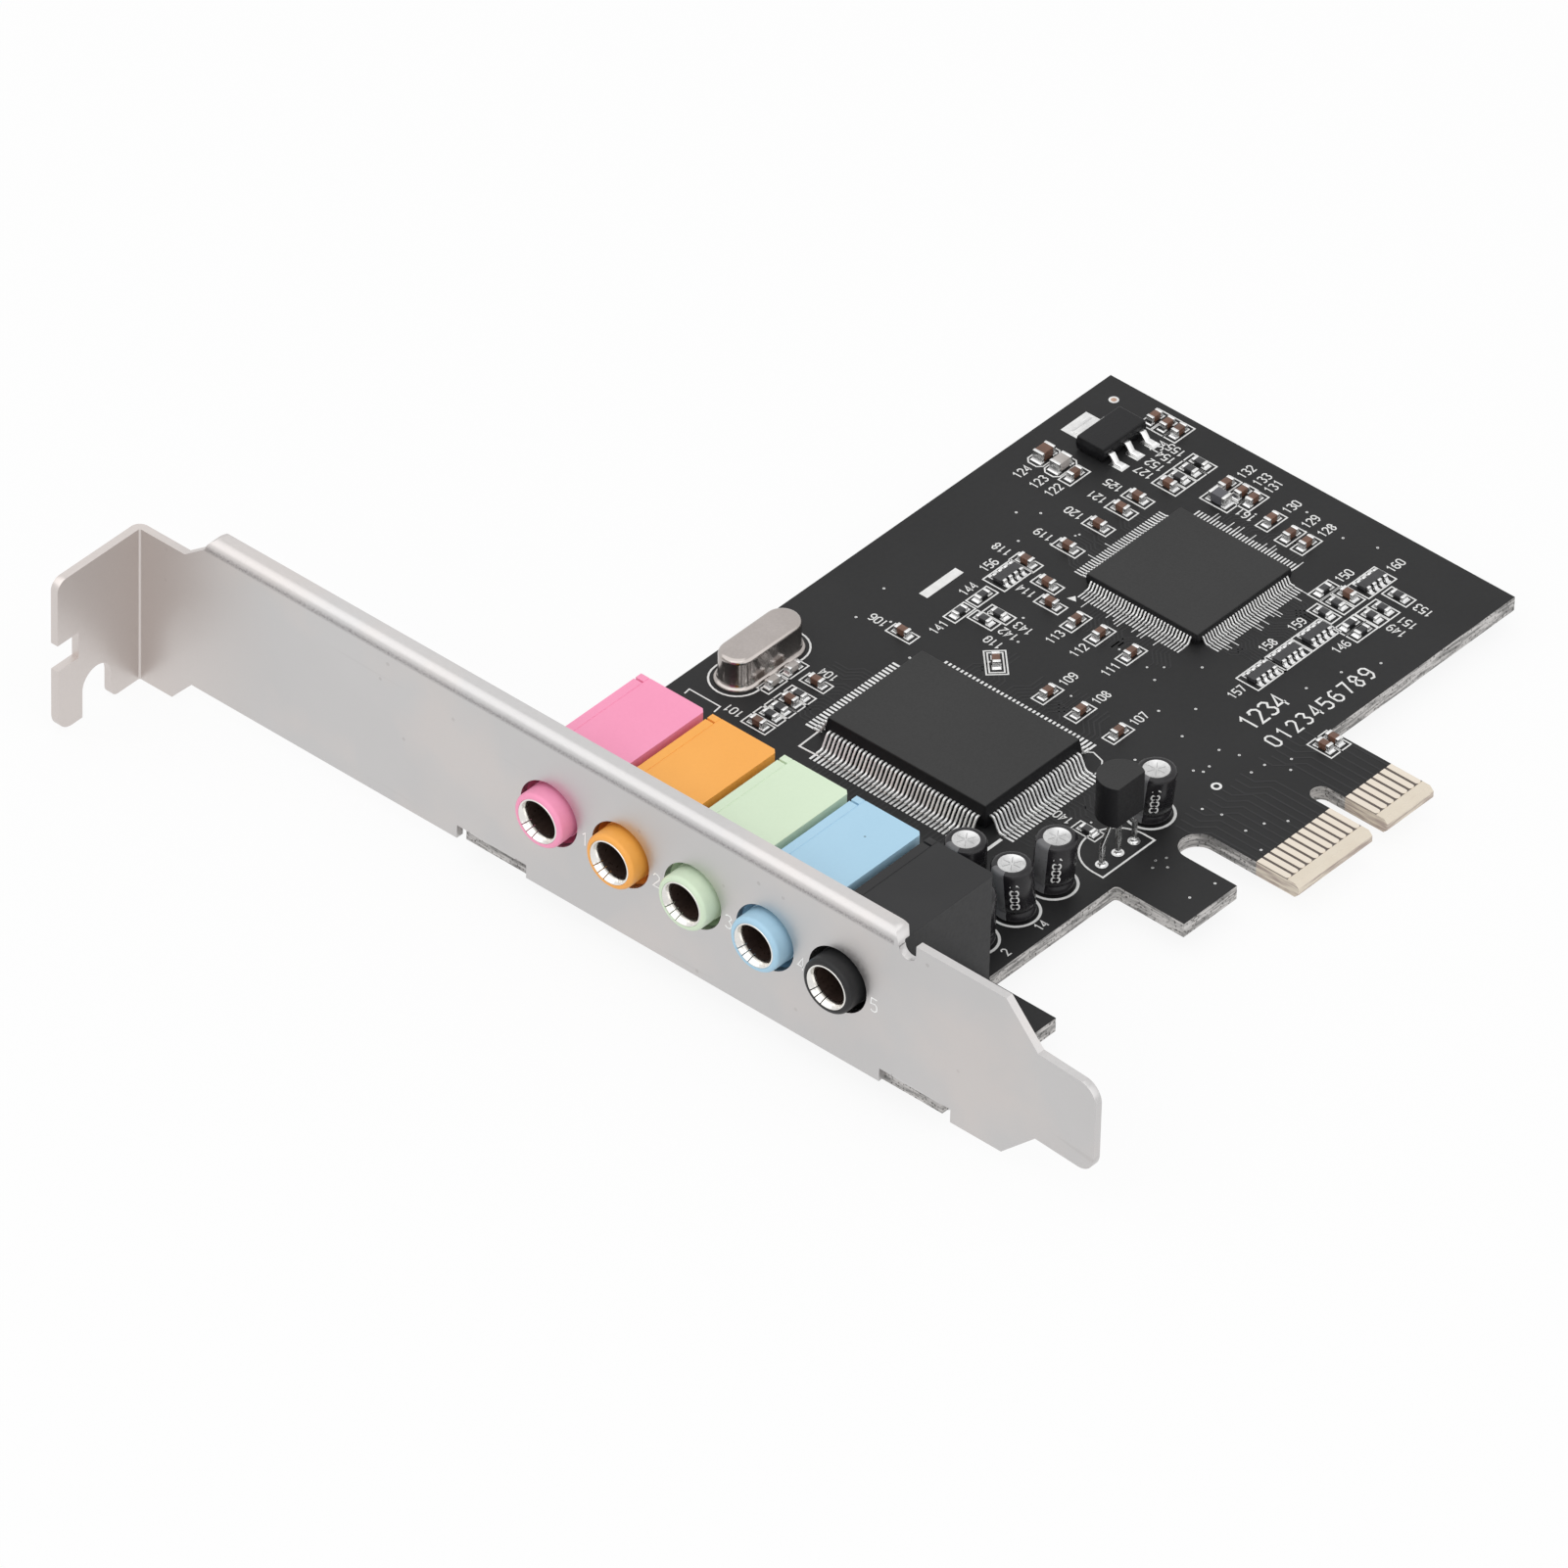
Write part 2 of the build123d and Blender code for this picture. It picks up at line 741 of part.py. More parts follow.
# Crystal: drawn can on a rimmed base with two leads
with BuildPart() as crystal_base:
    with BuildSketch():
        with Locations((crystal_x, crystal_y)):
            SlotOverall(crystal_rim_length, crystal_rim_width)
    extrude(amount=crystal_rim)
write(crystal_base.part, "crystal_base")
with BuildPart() as crystal_can:
    with BuildSketch(Plane.XY.offset(crystal_rim)):
        with Locations((crystal_x, crystal_y)):
            SlotOverall(crystal_can_length, crystal_can_width)
    extrude(amount=crystal_height - crystal_rim)
    chamfer(crystal_can.edges().group_by(Axis.Z)[-1], crystal_edge)
write(crystal_can.part, "crystal_can")
with BuildPart() as crystal_leads:
    with BuildSketch(Plane.XY.offset(pin_bottom)):
        with Locations(*crystal_leads_at):
            Rectangle(lead_side, lead_side)
    extrude(amount=-pin_bottom)
write(crystal_leads.part, "crystal_leads")

# Electrolytic capacitors: each a sealed can in its shrunk film, on two leads
for number, (x, y) in enumerate(capacitor_places, start=1):
    with BuildPart() as capacitor:
        with BuildSketch(Plane.XY.offset(capacitor_base)):
            with Locations((x, y)):
                Circle(capacitor_r)
        extrude(amount=capacitor_height - capacitor_base)
        chamfer(capacitor.edges().group_by(Axis.Z)[-1], capacitor_edge)
    write(capacitor.part, "capacitor_" + str(number))
with BuildPart() as capacitor_leads:
    with BuildSketch(Plane.XY.offset(pin_bottom)):
        with Locations(*capacitor_leads_at):
            Rectangle(lead_side, lead_side)
    extrude(amount=capacitor_base - pin_bottom)
write(capacitor_leads.part, "capacitor_leads")

# Transistor: flat-faced body held up on three leads, the outer two splayed
with BuildPart() as transistor_body:
    with BuildSketch(Plane.XY.offset(transistor_low)):
        with Locations((transistor_x, transistor_y)):
            Circle(transistor_r)
        with Locations((transistor_x, transistor_y - transistor_flat)):
            Rectangle(
                2 * transistor_r,
                transistor_r,
                align=(Align.CENTER, Align.MAX),
                mode=Mode.SUBTRACT,
            )
    extrude(amount=transistor_high - transistor_low)
write(transistor_body.part, "transistor_body")
with BuildPart() as transistor_leads:
    with BuildSketch(Plane.XZ.offset(-transistor_y)):
        for side in (-1, 0, 1):
            near = transistor_x + side * transistor_pitch
            wide = transistor_x + side * transistor_splay
            path = [
                (near, transistor_low),
                (near, transistor_bend_high),
                (wide, transistor_bend_low),
                (wide, pin_bottom),
            ]
            left = [(x - lead_side / 2, z) for x, z in path]
            right = [(x + lead_side / 2, z) for x, z in path]
            with BuildLine():
                Polyline(left + right[::-1], close=True)
            make_face()
    extrude(amount=lead_side / 2, both=True)
write(transistor_leads.part, "transistor_leads")


def turned(places, angle):
    """Locations of small parts, all turned by one angle about Z."""
    return [Location((x, y, 0), (0, 0, angle)) for x, y in places]


def small_bodies(places, length, width, height, cap):
    """Bodies between the end caps, lying just clear of the board."""
    with Locations(*places):
        with Locations((0, 0, part_lift)):
            Box(
                length - 2 * cap,
                width - part_lift,
                height - 2 * part_lift,
                align=(Align.CENTER, Align.CENTER, Align.MIN),
            )


def small_ends(places, length, width, height, cap):
    """End caps that stand on the board at both ends of each body."""
    with Locations(*places):
        with Locations(((cap - length) / 2, 0), ((length - cap) / 2, 0)):
            Box(cap, width, height, align=(Align.CENTER, Align.CENTER, Align.MIN))


# Ceramic chip capacitors in two sizes
capacitors_at = turned(capacitors_along_x, 0) + turned(capacitors_along_y, 90)
capacitors_at += turned([slanted_capacitor], 45)
large_at = turned(large_capacitors, 0)
with BuildPart() as chip_capacitor_bodies:
    small_bodies(capacitors_at, chip_length, chip_width, chip_capacitor_height, chip_cap)
    small_bodies(large_at, large_length, large_width, large_height, chip_cap)
write(chip_capacitor_bodies.part, "chip_capacitor_bodies")
with BuildPart() as chip_capacitor_ends:
    small_ends(capacitors_at, chip_length, chip_width, chip_capacitor_height, chip_cap)
    small_ends(large_at, large_length, large_width, large_height, chip_cap)
write(chip_capacitor_ends.part, "chip_capacitor_ends")

# Chip resistors
resistors_at = turned(resistors_along_x, 0) + turned(resistors_along_y, 90)
with BuildPart() as chip_resistor_bodies:
    small_bodies(resistors_at, chip_length, chip_width, chip_resistor_height, chip_cap)
write(chip_resistor_bodies.part, "chip_resistor_bodies")
with BuildPart() as chip_resistor_ends:
    small_ends(resistors_at, chip_length, chip_width, chip_resistor_height, chip_cap)
write(chip_resistor_ends.part, "chip_resistor_ends")

# Resistor arrays with four caps along each long side
arrays_at = turned(arrays_along_x, 0)
with BuildPart() as resistor_array_bodies:
    with Locations(*arrays_at):
        with Locations((0, 0, part_lift)):
            Box(
                array_length,
                array_width - 2 * array_cap,
                array_height - 2 * part_lift,
                align=(Align.CENTER, Align.CENTER, Align.MIN),
            )
write(resistor_array_bodies.part, "resistor_array_bodies")
with BuildPart() as resistor_array_ends:
    with Locations(*arrays_at):
        with GridLocations(array_pitch, array_width - array_cap, 4, 2):
            Box(
                array_cap_width,
                array_cap,
                array_height,
                align=(Align.CENTER, Align.CENTER, Align.MIN),
            )
write(resistor_array_ends.part, "resistor_array_ends")

# Ferrite bead
bead_at = turned([bead_place], 90)
with BuildPart() as ferrite_bead_body:
    small_bodies(bead_at, large_length, large_width, large_height, chip_cap)
write(ferrite_bead_body.part, "ferrite_bead_body")
with BuildPart() as ferrite_bead_ends:
    small_ends(bead_at, large_length, large_width, large_height, chip_cap)
write(ferrite_bead_ends.part, "ferrite_bead_ends")
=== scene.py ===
"""Sound card with a full-height bracket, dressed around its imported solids.

Lengths in the classes are millimetres in the part's own frame: X runs into the computer,
Y up the bracket to its tab and Z out of the board's component side.
"""

import json
import logging
import math
import random
from collections.abc import Callable, Iterable, Sequence
from dataclasses import dataclass, field
from enum import Enum

import bmesh
import bpy
from mathutils import Matrix, Vector

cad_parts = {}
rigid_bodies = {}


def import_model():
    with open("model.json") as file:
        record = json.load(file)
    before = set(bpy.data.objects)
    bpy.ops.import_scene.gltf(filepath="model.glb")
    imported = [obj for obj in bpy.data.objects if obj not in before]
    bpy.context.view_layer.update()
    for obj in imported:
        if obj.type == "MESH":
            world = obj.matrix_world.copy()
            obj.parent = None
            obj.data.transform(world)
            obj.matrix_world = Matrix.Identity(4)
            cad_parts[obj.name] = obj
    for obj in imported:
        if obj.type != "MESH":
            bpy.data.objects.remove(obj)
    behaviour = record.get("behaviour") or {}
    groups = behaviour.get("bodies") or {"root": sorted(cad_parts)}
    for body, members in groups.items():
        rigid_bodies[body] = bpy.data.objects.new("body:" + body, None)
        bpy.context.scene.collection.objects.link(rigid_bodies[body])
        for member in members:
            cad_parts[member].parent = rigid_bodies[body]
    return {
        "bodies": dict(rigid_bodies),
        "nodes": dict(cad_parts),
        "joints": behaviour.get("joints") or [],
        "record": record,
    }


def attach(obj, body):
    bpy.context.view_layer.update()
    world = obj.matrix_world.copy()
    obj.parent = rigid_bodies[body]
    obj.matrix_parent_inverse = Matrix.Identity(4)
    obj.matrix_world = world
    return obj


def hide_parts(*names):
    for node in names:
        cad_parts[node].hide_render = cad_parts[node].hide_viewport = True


MM = 0.001
SMOOTH_ANGLE = math.radians(38)
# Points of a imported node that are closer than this, in metres, are the same point.
SAME_POINT = 2e-6
# Depth by which print, pads and copper lines reach into the board, and the rise of the lines.
SUNK = 0.004
LINE_RISE = 0.012
LOG = logging.getLogger("sound_card")

Flat = tuple[float, float]
Colour = tuple[float, float, float]
Material = bpy.types.Material
Thing = bpy.types.Object


class Axis(Enum):
    """Axis that a turned piece is made around."""

    ALONG_X = "x"
    ALONG_Z = "z"


class Side(Enum):
    """Side of the board, with the height of its face and the way out of it."""

    COMPONENT = (0.0, 1.0)
    SOLDER = (-1.6, -1.0)

    def level(self, rise: float) -> float:
        """Height of a point that stands out of this side by rise."""
        return self.value[0] + self.value[1] * rise


# Shader building


class Graph:
    """Node tree under construction, with short calls for adding and joining nodes."""

    def __init__(self, tree: bpy.types.NodeTree) -> None:
        """Keep the tree that the nodes go into."""
        self.tree = tree

    def add(self, kind: str, inputs: dict | None = None, **settings: object) -> bpy.types.Node:
        """Add a node and set it up.

        Args:
            kind: Node type, such as ShaderNodeMix.
            inputs: Values or sockets by input name or number; a socket is linked.
            settings: Properties of the node itself.

        Returns:
            The new node.
        """
        node = self.tree.nodes.new(kind)
        for key, value in settings.items():
            setattr(node, key, value)
        for key, value in (inputs or {}).items():
            if isinstance(value, bpy.types.NodeSocket):
                self.tree.links.new(value, node.inputs[key])
            else:
                node.inputs[key].default_value = value
        return node

    def maths(self, operation: str, first: object, second: object = 0.0) -> bpy.types.NodeSocket:
        """Add one step of arithmetic and give its result."""
        return self.add("ShaderNodeMath", {0: first, 1: second}, operation=operation).outputs[0]

    def blend(self, factor: object, first: object, second: object) -> bpy.types.NodeSocket:
        """Mix two colours by a factor and give the result.

        Args:
            factor: Share of the second colour, a value or a socket.
            first: Colour or socket at 0.
            second: Colour or socket at 1.

        Returns:
            The mixed colour.
        """
        node = self.add("ShaderNodeMix", data_type="RGBA")
        for socket, value in ((node.inputs[0], factor), (node.inputs[6], first), (node.inputs[7], second)):
            if isinstance(value, bpy.types.NodeSocket):
                self.tree.links.new(value, socket)
            elif isinstance(value, tuple):
                socket.default_value = (*value, 1.0)
            else:
                socket.default_value = value
        return node.outputs[2]

    def spread(
        self,
        value: object,
        low: float,
        high: float,
        start: float = 0.0,
        end: float = 1.0,
    ) -> bpy.types.NodeSocket:
        """Stretch a value from the range start to end over the range low to high."""
        inputs = {0: value, 1: start, 2: end, 3: low, 4: high}
        return self.add("ShaderNodeMapRange", inputs, clamp=True).outputs[0]

    def group(self, tree: bpy.types.NodeTree, values: dict[str, float]) -> bpy.types.Node:
        """Place a shared group with its own values.

        Args:
            tree: The group's node tree.
            values: Values of its inputs by their names.

        Returns:
            The group's node.
        """
        node = self.add("ShaderNodeGroup", node_tree=tree)
        for label, value in values.items():
            node.inputs[label].default_value = value
        return node


def shader_group(name: str, inputs: dict[str, float], outputs: Sequence[str], fill: Callable) -> bpy.types.NodeTree:
    """Make a shared group of shader nodes, once.

    Args:
        name: Name of the group.
        inputs: Its inputs with their usual values.
        outputs: Names of its value outputs.
        fill: Called with the graph, the input node and the output node.

    Returns:
        The group's node tree.
    """
    tree = bpy.data.node_groups.get(name)
    if tree:
        return tree
    tree = bpy.data.node_groups.new(name, "ShaderNodeTree")
    for label, value in inputs.items():
        socket = tree.interface.new_socket(label, in_out="INPUT", socket_type="NodeSocketFloat")
        socket.default_value = value
    for label in outputs:
        tree.interface.new_socket(label, in_out="OUTPUT", socket_type="NodeSocketFloat")
    graph = Graph(tree)
    fill(graph, graph.add("NodeGroupInput"), graph.add("NodeGroupOutput"))
    return tree


def fill_surface(graph: Graph, given: bpy.types.Node, out: bpy.types.Node) -> None:
    """Broad clouds of tone and a fine grain, both from 0 to 1.

    Args:
        graph: Graph of the group.
        given: Input node of the group.
        out: Output node of the group.
    """
    place = graph.add("ShaderNodeTexCoord").outputs["Object"]
    cloud = graph.add("ShaderNodeTexNoise", {"Vector": place, "Scale": given.outputs["Cloud Scale"], "Detail": 3.0})
    grain = graph.add("ShaderNodeTexNoise", {"Vector": place, "Scale": given.outputs["Grain Scale"], "Detail": 2.0})
    graph.tree.links.new(graph.spread(cloud.outputs[0], 0.0, 1.0, 0.3, 0.7), out.inputs["Cloud"])
    graph.tree.links.new(graph.spread(grain.outputs[0], 0.0, 1.0, 0.25, 0.75), out.inputs["Grain"])


def fill_flecks(graph: Graph, given: bpy.types.Node, out: bpy.types.Node) -> None:
    """Small scattered flecks: 1 inside a fleck and 0 outside.

    Args:
        graph: Graph of the group.
        given: Input node of the group.
        out: Output node of the group.
    """
    place = graph.add("ShaderNodeTexCoord").outputs["Object"]
    cells = graph.add("ShaderNodeTexVoronoi", {"Vector": place, "Scale": given.outputs["Scale"]})
    chosen = graph.add("ShaderNodeSeparateColor", {0: cells.outputs["Color"]}).outputs[0]
    few = graph.maths("LESS_THAN", chosen, given.outputs["Share"])
    near = graph.maths("LESS_THAN", cells.outputs["Distance"], given.outputs["Size"])
    graph.tree.links.new(graph.maths("MULTIPLY", few, near), out.inputs["Fleck"])


def fill_scratches(graph: Graph, given: bpy.types.Node, out: bpy.types.Node) -> None:
    """Fine hairlines that run along Y, broken up along their length.

    Args:
        graph: Graph of the group.
        given: Input node of the group.
        out: Output node of the group.
    """
    place = graph.add("ShaderNodeTexCoord").outputs["Object"]
    stretch = {"Vector": place, "Scale": (1.0, 0.035, 1.0), "Rotation": (0.12, 0.0, 0.0)}
    drawn = graph.add("ShaderNodeMapping", stretch).outputs[0]
    lines = graph.add("ShaderNodeTexNoise", {"Vector": drawn, "Scale": given.outputs["Scale"], "Detail": 1.0})
    thin = graph.spread(lines.outputs[0], 0.0, 1.0, 0.66, 0.74)
    patch = graph.add("ShaderNodeTexNoise", {"Vector": place, "Scale": 55.0, "Detail": 1.0})
    shown = graph.spread(patch.outputs[0], 0.0, 1.0, 0.52, 0.62)
    graph.tree.links.new(graph.maths("MULTIPLY", thin, shown), out.inputs["Line"])


def scatter_flecks(graph: Graph, scale: float, share: float, size: float) -> bpy.types.NodeSocket:
    """Place the shared flecks in a material.

    Args:
        graph: Graph of the material.
        scale: Cells to a metre.
        share: Share of the cells that hold a fleck.
        size: Radius of a fleck, in cells.

    Returns:
        The flecks' mask.
    """
    tree = shader_group("flecks", {"Scale": 300.0, "Share": 0.2, "Size": 0.1}, ("Fleck",), fill_flecks)
    return graph.group(tree, {"Scale": scale, "Share": share, "Size": size}).outputs[0]


@dataclass(frozen=True)
class Finish:
    """Look of one kind of surface, made into a node material when it is first used."""

    name: str
    light: Colour
    dark: Colour
    rough: Flat = (0.4, 0.55)
    cloud_scale: float = 60.0
    grain_scale: float = 2500.0
    bump: float = 0.0
    specular: float = 0.5

    def material(self) -> Material:
        """Give the finish's material, and make it on the first call.

        Returns:
            The material.
        """
        ready = bpy.data.materials.get(self.name)
        if ready:
            return ready
        material = bpy.data.materials.new(self.name)
        material.use_nodes = True
        graph = Graph(material.node_tree)
        shader = material.node_tree.nodes["Principled BSDF"]
        shader.inputs["Specular IOR Level"].default_value = self.specular
        usual = {"Cloud Scale": 60.0, "Grain Scale": 2500.0}
        tree = shader_group("surface_tone", usual, ("Cloud", "Grain"), fill_surface)
        tone = graph.group(tree, {"Cloud Scale": self.cloud_scale, "Grain Scale": self.grain_scale})
        mixed = graph.maths("MULTIPLY_ADD", tone.outputs["Grain"], 0.3)
        mixed.node.inputs[2].default_value = 0.0
        shade = graph.maths("ADD", mixed, graph.maths("MULTIPLY", tone.outputs["Cloud"], 0.7))
        colour = self.tint(graph, graph.blend(shade, self.dark, self.light))
        graph.tree.links.new(colour, shader.inputs["Base Color"])
        graph.tree.links.new(graph.spread(tone.outputs["Grain"], *self.rough), shader.inputs["Roughness"])
        if self.bump > 0:
            height = self.relief(graph, tone.outputs["Grain"])
            relief = graph.add("ShaderNodeBump", {"Height": height, "Distance": self.bump * MM})
            relief.inputs["Strength"].default_value = 0.6
            graph.tree.links.new(relief.outputs[0], shader.inputs["Normal"])
        self.polish(shader)
        return material

    def tint(self, graph: Graph, colour: bpy.types.NodeSocket) -> bpy.types.NodeSocket:
        """Change the colour further; a plain finish leaves it as it is."""
        return colour

    def relief(self, graph: Graph, grain: bpy.types.NodeSocket) -> bpy.types.NodeSocket:
        """Give the height that the bump follows; a plain finish has its grain."""
        return grain

    def polish(self, shader: bpy.types.Node) -> None:
        """Set the shader's constant sockets; a plain finish leaves them as they are."""


@dataclass(frozen=True)
class Metal(Finish):
    """Bare or plated metal."""

    def polish(self, shader: bpy.types.Node) -> None:
        """Make the surface metal."""
        shader.inputs["Metallic"].default_value = 1.0


@dataclass(frozen=True)
class PlatedSheet(Metal):
    """Satin plated sheet with faint hairlines, a few stains, painted light on the tab end and a painted gritty shade
    band along its long fold.
    """

    # Painted shade band along the foot of the flange's bend: its height, half width, start along Y and reach out of
    # the face.
    wear_level: float = 16.62
    wear_width: float = 0.42
    wear_start: float = -35.0
    wear_front: float = 0.7
    # Painted light: between these two places along Y the sheet turns lighter and warmer towards the tab and its
    # fold.
    warmed_from: float = 42.0
    warmed_to: float = 58.0
    hairline: Colour = (0.34, 0.32, 0.31)
    stain: Colour = (0.25, 0.23, 0.22)
    # Warm colour of the random stains, and of the painted light on the tab end.
    warm: Colour = (0.66, 0.60, 0.57)
    # Colour of the painted shade band along the bend.
    wear: Colour = (0.20, 0.185, 0.19)

    def tint(self, graph: Graph, colour: bpy.types.NodeSocket) -> bpy.types.NodeSocket:
        """Lay hairlines, stains, painted light on the tab end and a painted shade band along the fold over the
        colour.

        Args:
            graph: Graph of the finish's material.
            colour: Colour so far.

        Returns:
            The marked colour.
        """
        lines = shader_group("hairlines", {"Scale": 900.0}, ("Line",), fill_scratches)
        line = graph.group(lines, {"Scale": 900.0}).outputs[0]
        marked = graph.blend(graph.maths("MULTIPLY", line, 0.16), colour, self.hairline)
        fleck = scatter_flecks(graph, 420.0, 0.05, 0.09)
        stained = graph.blend(graph.maths("MULTIPLY", fleck, 0.25), marked, self.stain)
        place = graph.add("ShaderNodeTexCoord").outputs["Object"]
        along = graph.add("ShaderNodeSeparateXYZ", {0: place})
        cloud = graph.add("ShaderNodeTexNoise", {"Vector": place, "Scale": 75.0, "Detail": 3.0})
        worn = graph.spread(cloud.outputs[0], 0.0, 0.4, 0.48, 0.66)
        # Painted light: a lighter, warmer colour rising towards the tab.
        tab = graph.spread(along.outputs[1], 0.0, 0.75, self.warmed_from * MM, self.warmed_to * MM)
        stained_and_lit = graph.blend(graph.maths("MAXIMUM", worn, tab), stained, self.warm)
        # Painted shade band along the foot of the bend.
        return graph.blend(self.folding_wear(graph), stained_and_lit, self.wear)

    def folding_wear(self, graph: Graph) -> bpy.types.NodeSocket:
        """Give the painted shade: a dark band, broken up by grit, along the foot of the flange's bend.

        Args:
            graph: Graph of the finish's material.

        Returns:
            The band's mask.
        """
        place = graph.add("ShaderNodeTexCoord").outputs["Object"]
        along = graph.add("ShaderNodeSeparateXYZ", {0: place})
        off = graph.maths("ABSOLUTE", graph.maths("SUBTRACT", along.outputs[2], self.wear_level * MM))
        near = graph.spread(off, 1.0, 0.0, self.wear_width * 0.15 * MM, self.wear_width * MM)
        front = graph.maths("LESS_THAN", along.outputs[0], self.wear_front * MM)
        started = graph.maths("GREATER_THAN", along.outputs[1], self.wear_start * MM)
        grit = graph.add("ShaderNodeTexNoise", {"Vector": place, "Scale": 5200.0, "Detail": 1.0})
        shown = graph.maths("MULTIPLY", near, graph.spread(grit.outputs[0], 0.34, 0.72, 0.40, 0.62))
        return graph.maths("MULTIPLY", shown, graph.maths("MULTIPLY", front, started))


@dataclass(frozen=True)
class MouldedPlastic(Finish):
    """Injection-moulded plastic with a few specks of dust."""

    rough: Flat = (0.34, 0.46)
    cloud_scale: float = 90.0
    grain_scale: float = 2600.0
    bump: float = 0.006

    def tint(self, graph: Graph, colour: bpy.types.NodeSocket) -> bpy.types.NodeSocket:
        """Scatter dark specks.

        Args:
            graph: Graph of the finish's material.
            colour: Colour so far.

        Returns:
            The specked colour.
        """
        fleck = scatter_flecks(graph, 520.0, 0.02, 0.12)
        speck = (self.dark[0] * 0.3, self.dark[1] * 0.3, self.dark[2] * 0.3)
        return graph.blend(graph.maths("MULTIPLY", fleck, 0.7), colour, speck)


@dataclass(frozen=True)
class PackageResin(Finish):
    """Matt moulding compound, with painted shade that makes its upright sides near black."""

    # Painted shade on the upright sides.
    side: Colour = (0.007, 0.007, 0.008)

    def tint(self, graph: Graph, colour: bpy.types.NodeSocket) -> bpy.types.NodeSocket:
        """Paint shade on the drawn, upright sides.

        Args:
            graph: Graph of the finish's material.
            colour: Colour so far.

        Returns:
            The colour, with painted shade where the surface stands upright.
        """
        facing = graph.add("ShaderNodeSeparateXYZ", {0: graph.add("ShaderNodeNewGeometry").outputs["True Normal"]})
        level = graph.maths("ABSOLUTE", facing.outputs[2])
        # Painted shade, from the upright faces to the flat ones.
        return graph.blend(graph.spread(level, 0.0, 1.0, 0.35, 0.75), self.side, colour)


@dataclass(frozen=True)
class BoardFinish(Finish):
    """Solder mask over laminate, with bare laminate on the sawn edges and the connector's tips, and painted shade
    between the contacts above the tips.
    """

    laminate: Colour = (0.70, 0.62, 0.51)
    laminate_light: Colour = (0.76, 0.69, 0.58)
    core: Colour = (0.22, 0.215, 0.21)
    ply: Colour = (0.62, 0.60, 0.585)
    grit: Colour = (0.05, 0.048, 0.045)
    between: Colour = (0.12, 0.10, 0.09)
    # Painted shade: the dark brown between the contacts, from the mask's end to the tips.
    flank: Colour = (0.42, 0.34, 0.30)
    mask_end: float = -39.5
    contact_end: float = -43.3
    connector_start: float = 45.0

    def tint(self, graph: Graph, colour: bpy.types.NodeSocket) -> bpy.types.NodeSocket:
        """Put laminate where there is no mask, in layers on the sawn edges, and painted shade between the contacts
        above the tips.

        Args:
            graph: Graph of the finish's material.
            colour: Colour so far.

        Returns:
            The mask's colour, with laminate at the edges and the connector.
        """
        place = graph.add("ShaderNodeTexCoord").outputs["Object"]
        across = graph.add("ShaderNodeSeparateXYZ", {0: place})
        facing = graph.add("ShaderNodeSeparateXYZ", {0: graph.add("ShaderNodeNewGeometry").outputs["True Normal"]})
        sawn = graph.maths("LESS_THAN", graph.maths("ABSOLUTE", facing.outputs[2]), 0.4)
        plies = graph.add("ShaderNodeTexNoise", {"Vector": place, "Scale": 1.0, "Detail": 2.0})
        stretched = graph.add("ShaderNodeMapping", {"Vector": place, "Scale": (350.0, 350.0, 3600.0)})
        graph.tree.links.new(stretched.outputs[0], plies.inputs["Vector"])
        layers = graph.spread(plies.outputs[0], 0.0, 1.0, 0.38, 0.60)
        chips = graph.add("ShaderNodeTexNoise", {"Vector": place, "Scale": 3400.0, "Detail": 2.0})
        broken = graph.spread(chips.outputs[0], 0.0, 0.85, 0.56, 0.66)
        low = graph.maths("LESS_THAN", across.outputs[1], self.mask_end * MM)
        beyond = graph.maths("GREATER_THAN", across.outputs[0], self.connector_start * MM)
        connector = graph.maths("MULTIPLY", low, beyond)
        tip = graph.maths("LESS_THAN", across.outputs[1], self.contact_end * MM)
        cloud = graph.add("ShaderNodeTexNoise", {"Vector": place, "Scale": 500.0, "Detail": 2.0})
        laminate = graph.blend(cloud.outputs[0], self.laminate, self.laminate_light)
        # Painted shade between the contacts, laminate at their tips.
        faced = graph.blend(connector, colour, graph.blend(tip, self.between, laminate))
        cut = graph.blend(broken, graph.blend(layers, self.core, self.ply), self.grit)
        edge = graph.blend(connector, cut, graph.blend(layers, self.flank, laminate))
        return graph.blend(sawn, faced, edge)


STEEL = PlatedSheet("plated_steel", (0.59, 0.58, 0.578), (0.545, 0.534, 0.531), (0.32, 0.44), 45.0, 3200.0, 0.004)
SCREW = Metal("screw_steel", (0.66, 0.66, 0.65), (0.52, 0.52, 0.52), (0.22, 0.34), 200.0, 2600.0, 0.002)
MASK = BoardFinish(
    "board_black", (0.018, 0.018, 0.0185), (0.011, 0.011, 0.0115), (0.42, 0.55), 70.0, 1800.0, 0.006, 0.22
)
TRACE = Finish("board_trace", (0.026, 0.026, 0.027), (0.018, 0.018, 0.019), (0.38, 0.50), 120.0, 1800.0, 0.004, 0.24)
INK = Finish("white_ink", (0.86, 0.86, 0.85), (0.70, 0.70, 0.69), (0.55, 0.70), 900.0, 6000.0, 0.003, 0.3)
STAMP = Finish("stamp_white", (0.95, 0.95, 0.94), (0.88, 0.88, 0.87), (0.5, 0.65))
PLATING = Metal("contact_plating", (0.50, 0.468, 0.455), (0.42, 0.39, 0.378), (0.26, 0.40), 500.0, 3500.0, 0.002)
COPPER = Metal("bare_copper", (0.62, 0.42, 0.32), (0.42, 0.28, 0.21), (0.30, 0.45), 900.0, 5000.0, 0.003)
TIN = Metal("bright_tin", (0.88, 0.88, 0.87), (0.66, 0.66, 0.66), (0.20, 0.36), 700.0, 5000.0, 0.003)
LEAD = Metal("formed_lead", (0.86, 0.86, 0.85), (0.64, 0.64, 0.64), (0.55, 0.70), 700.0, 5000.0, 0.003)
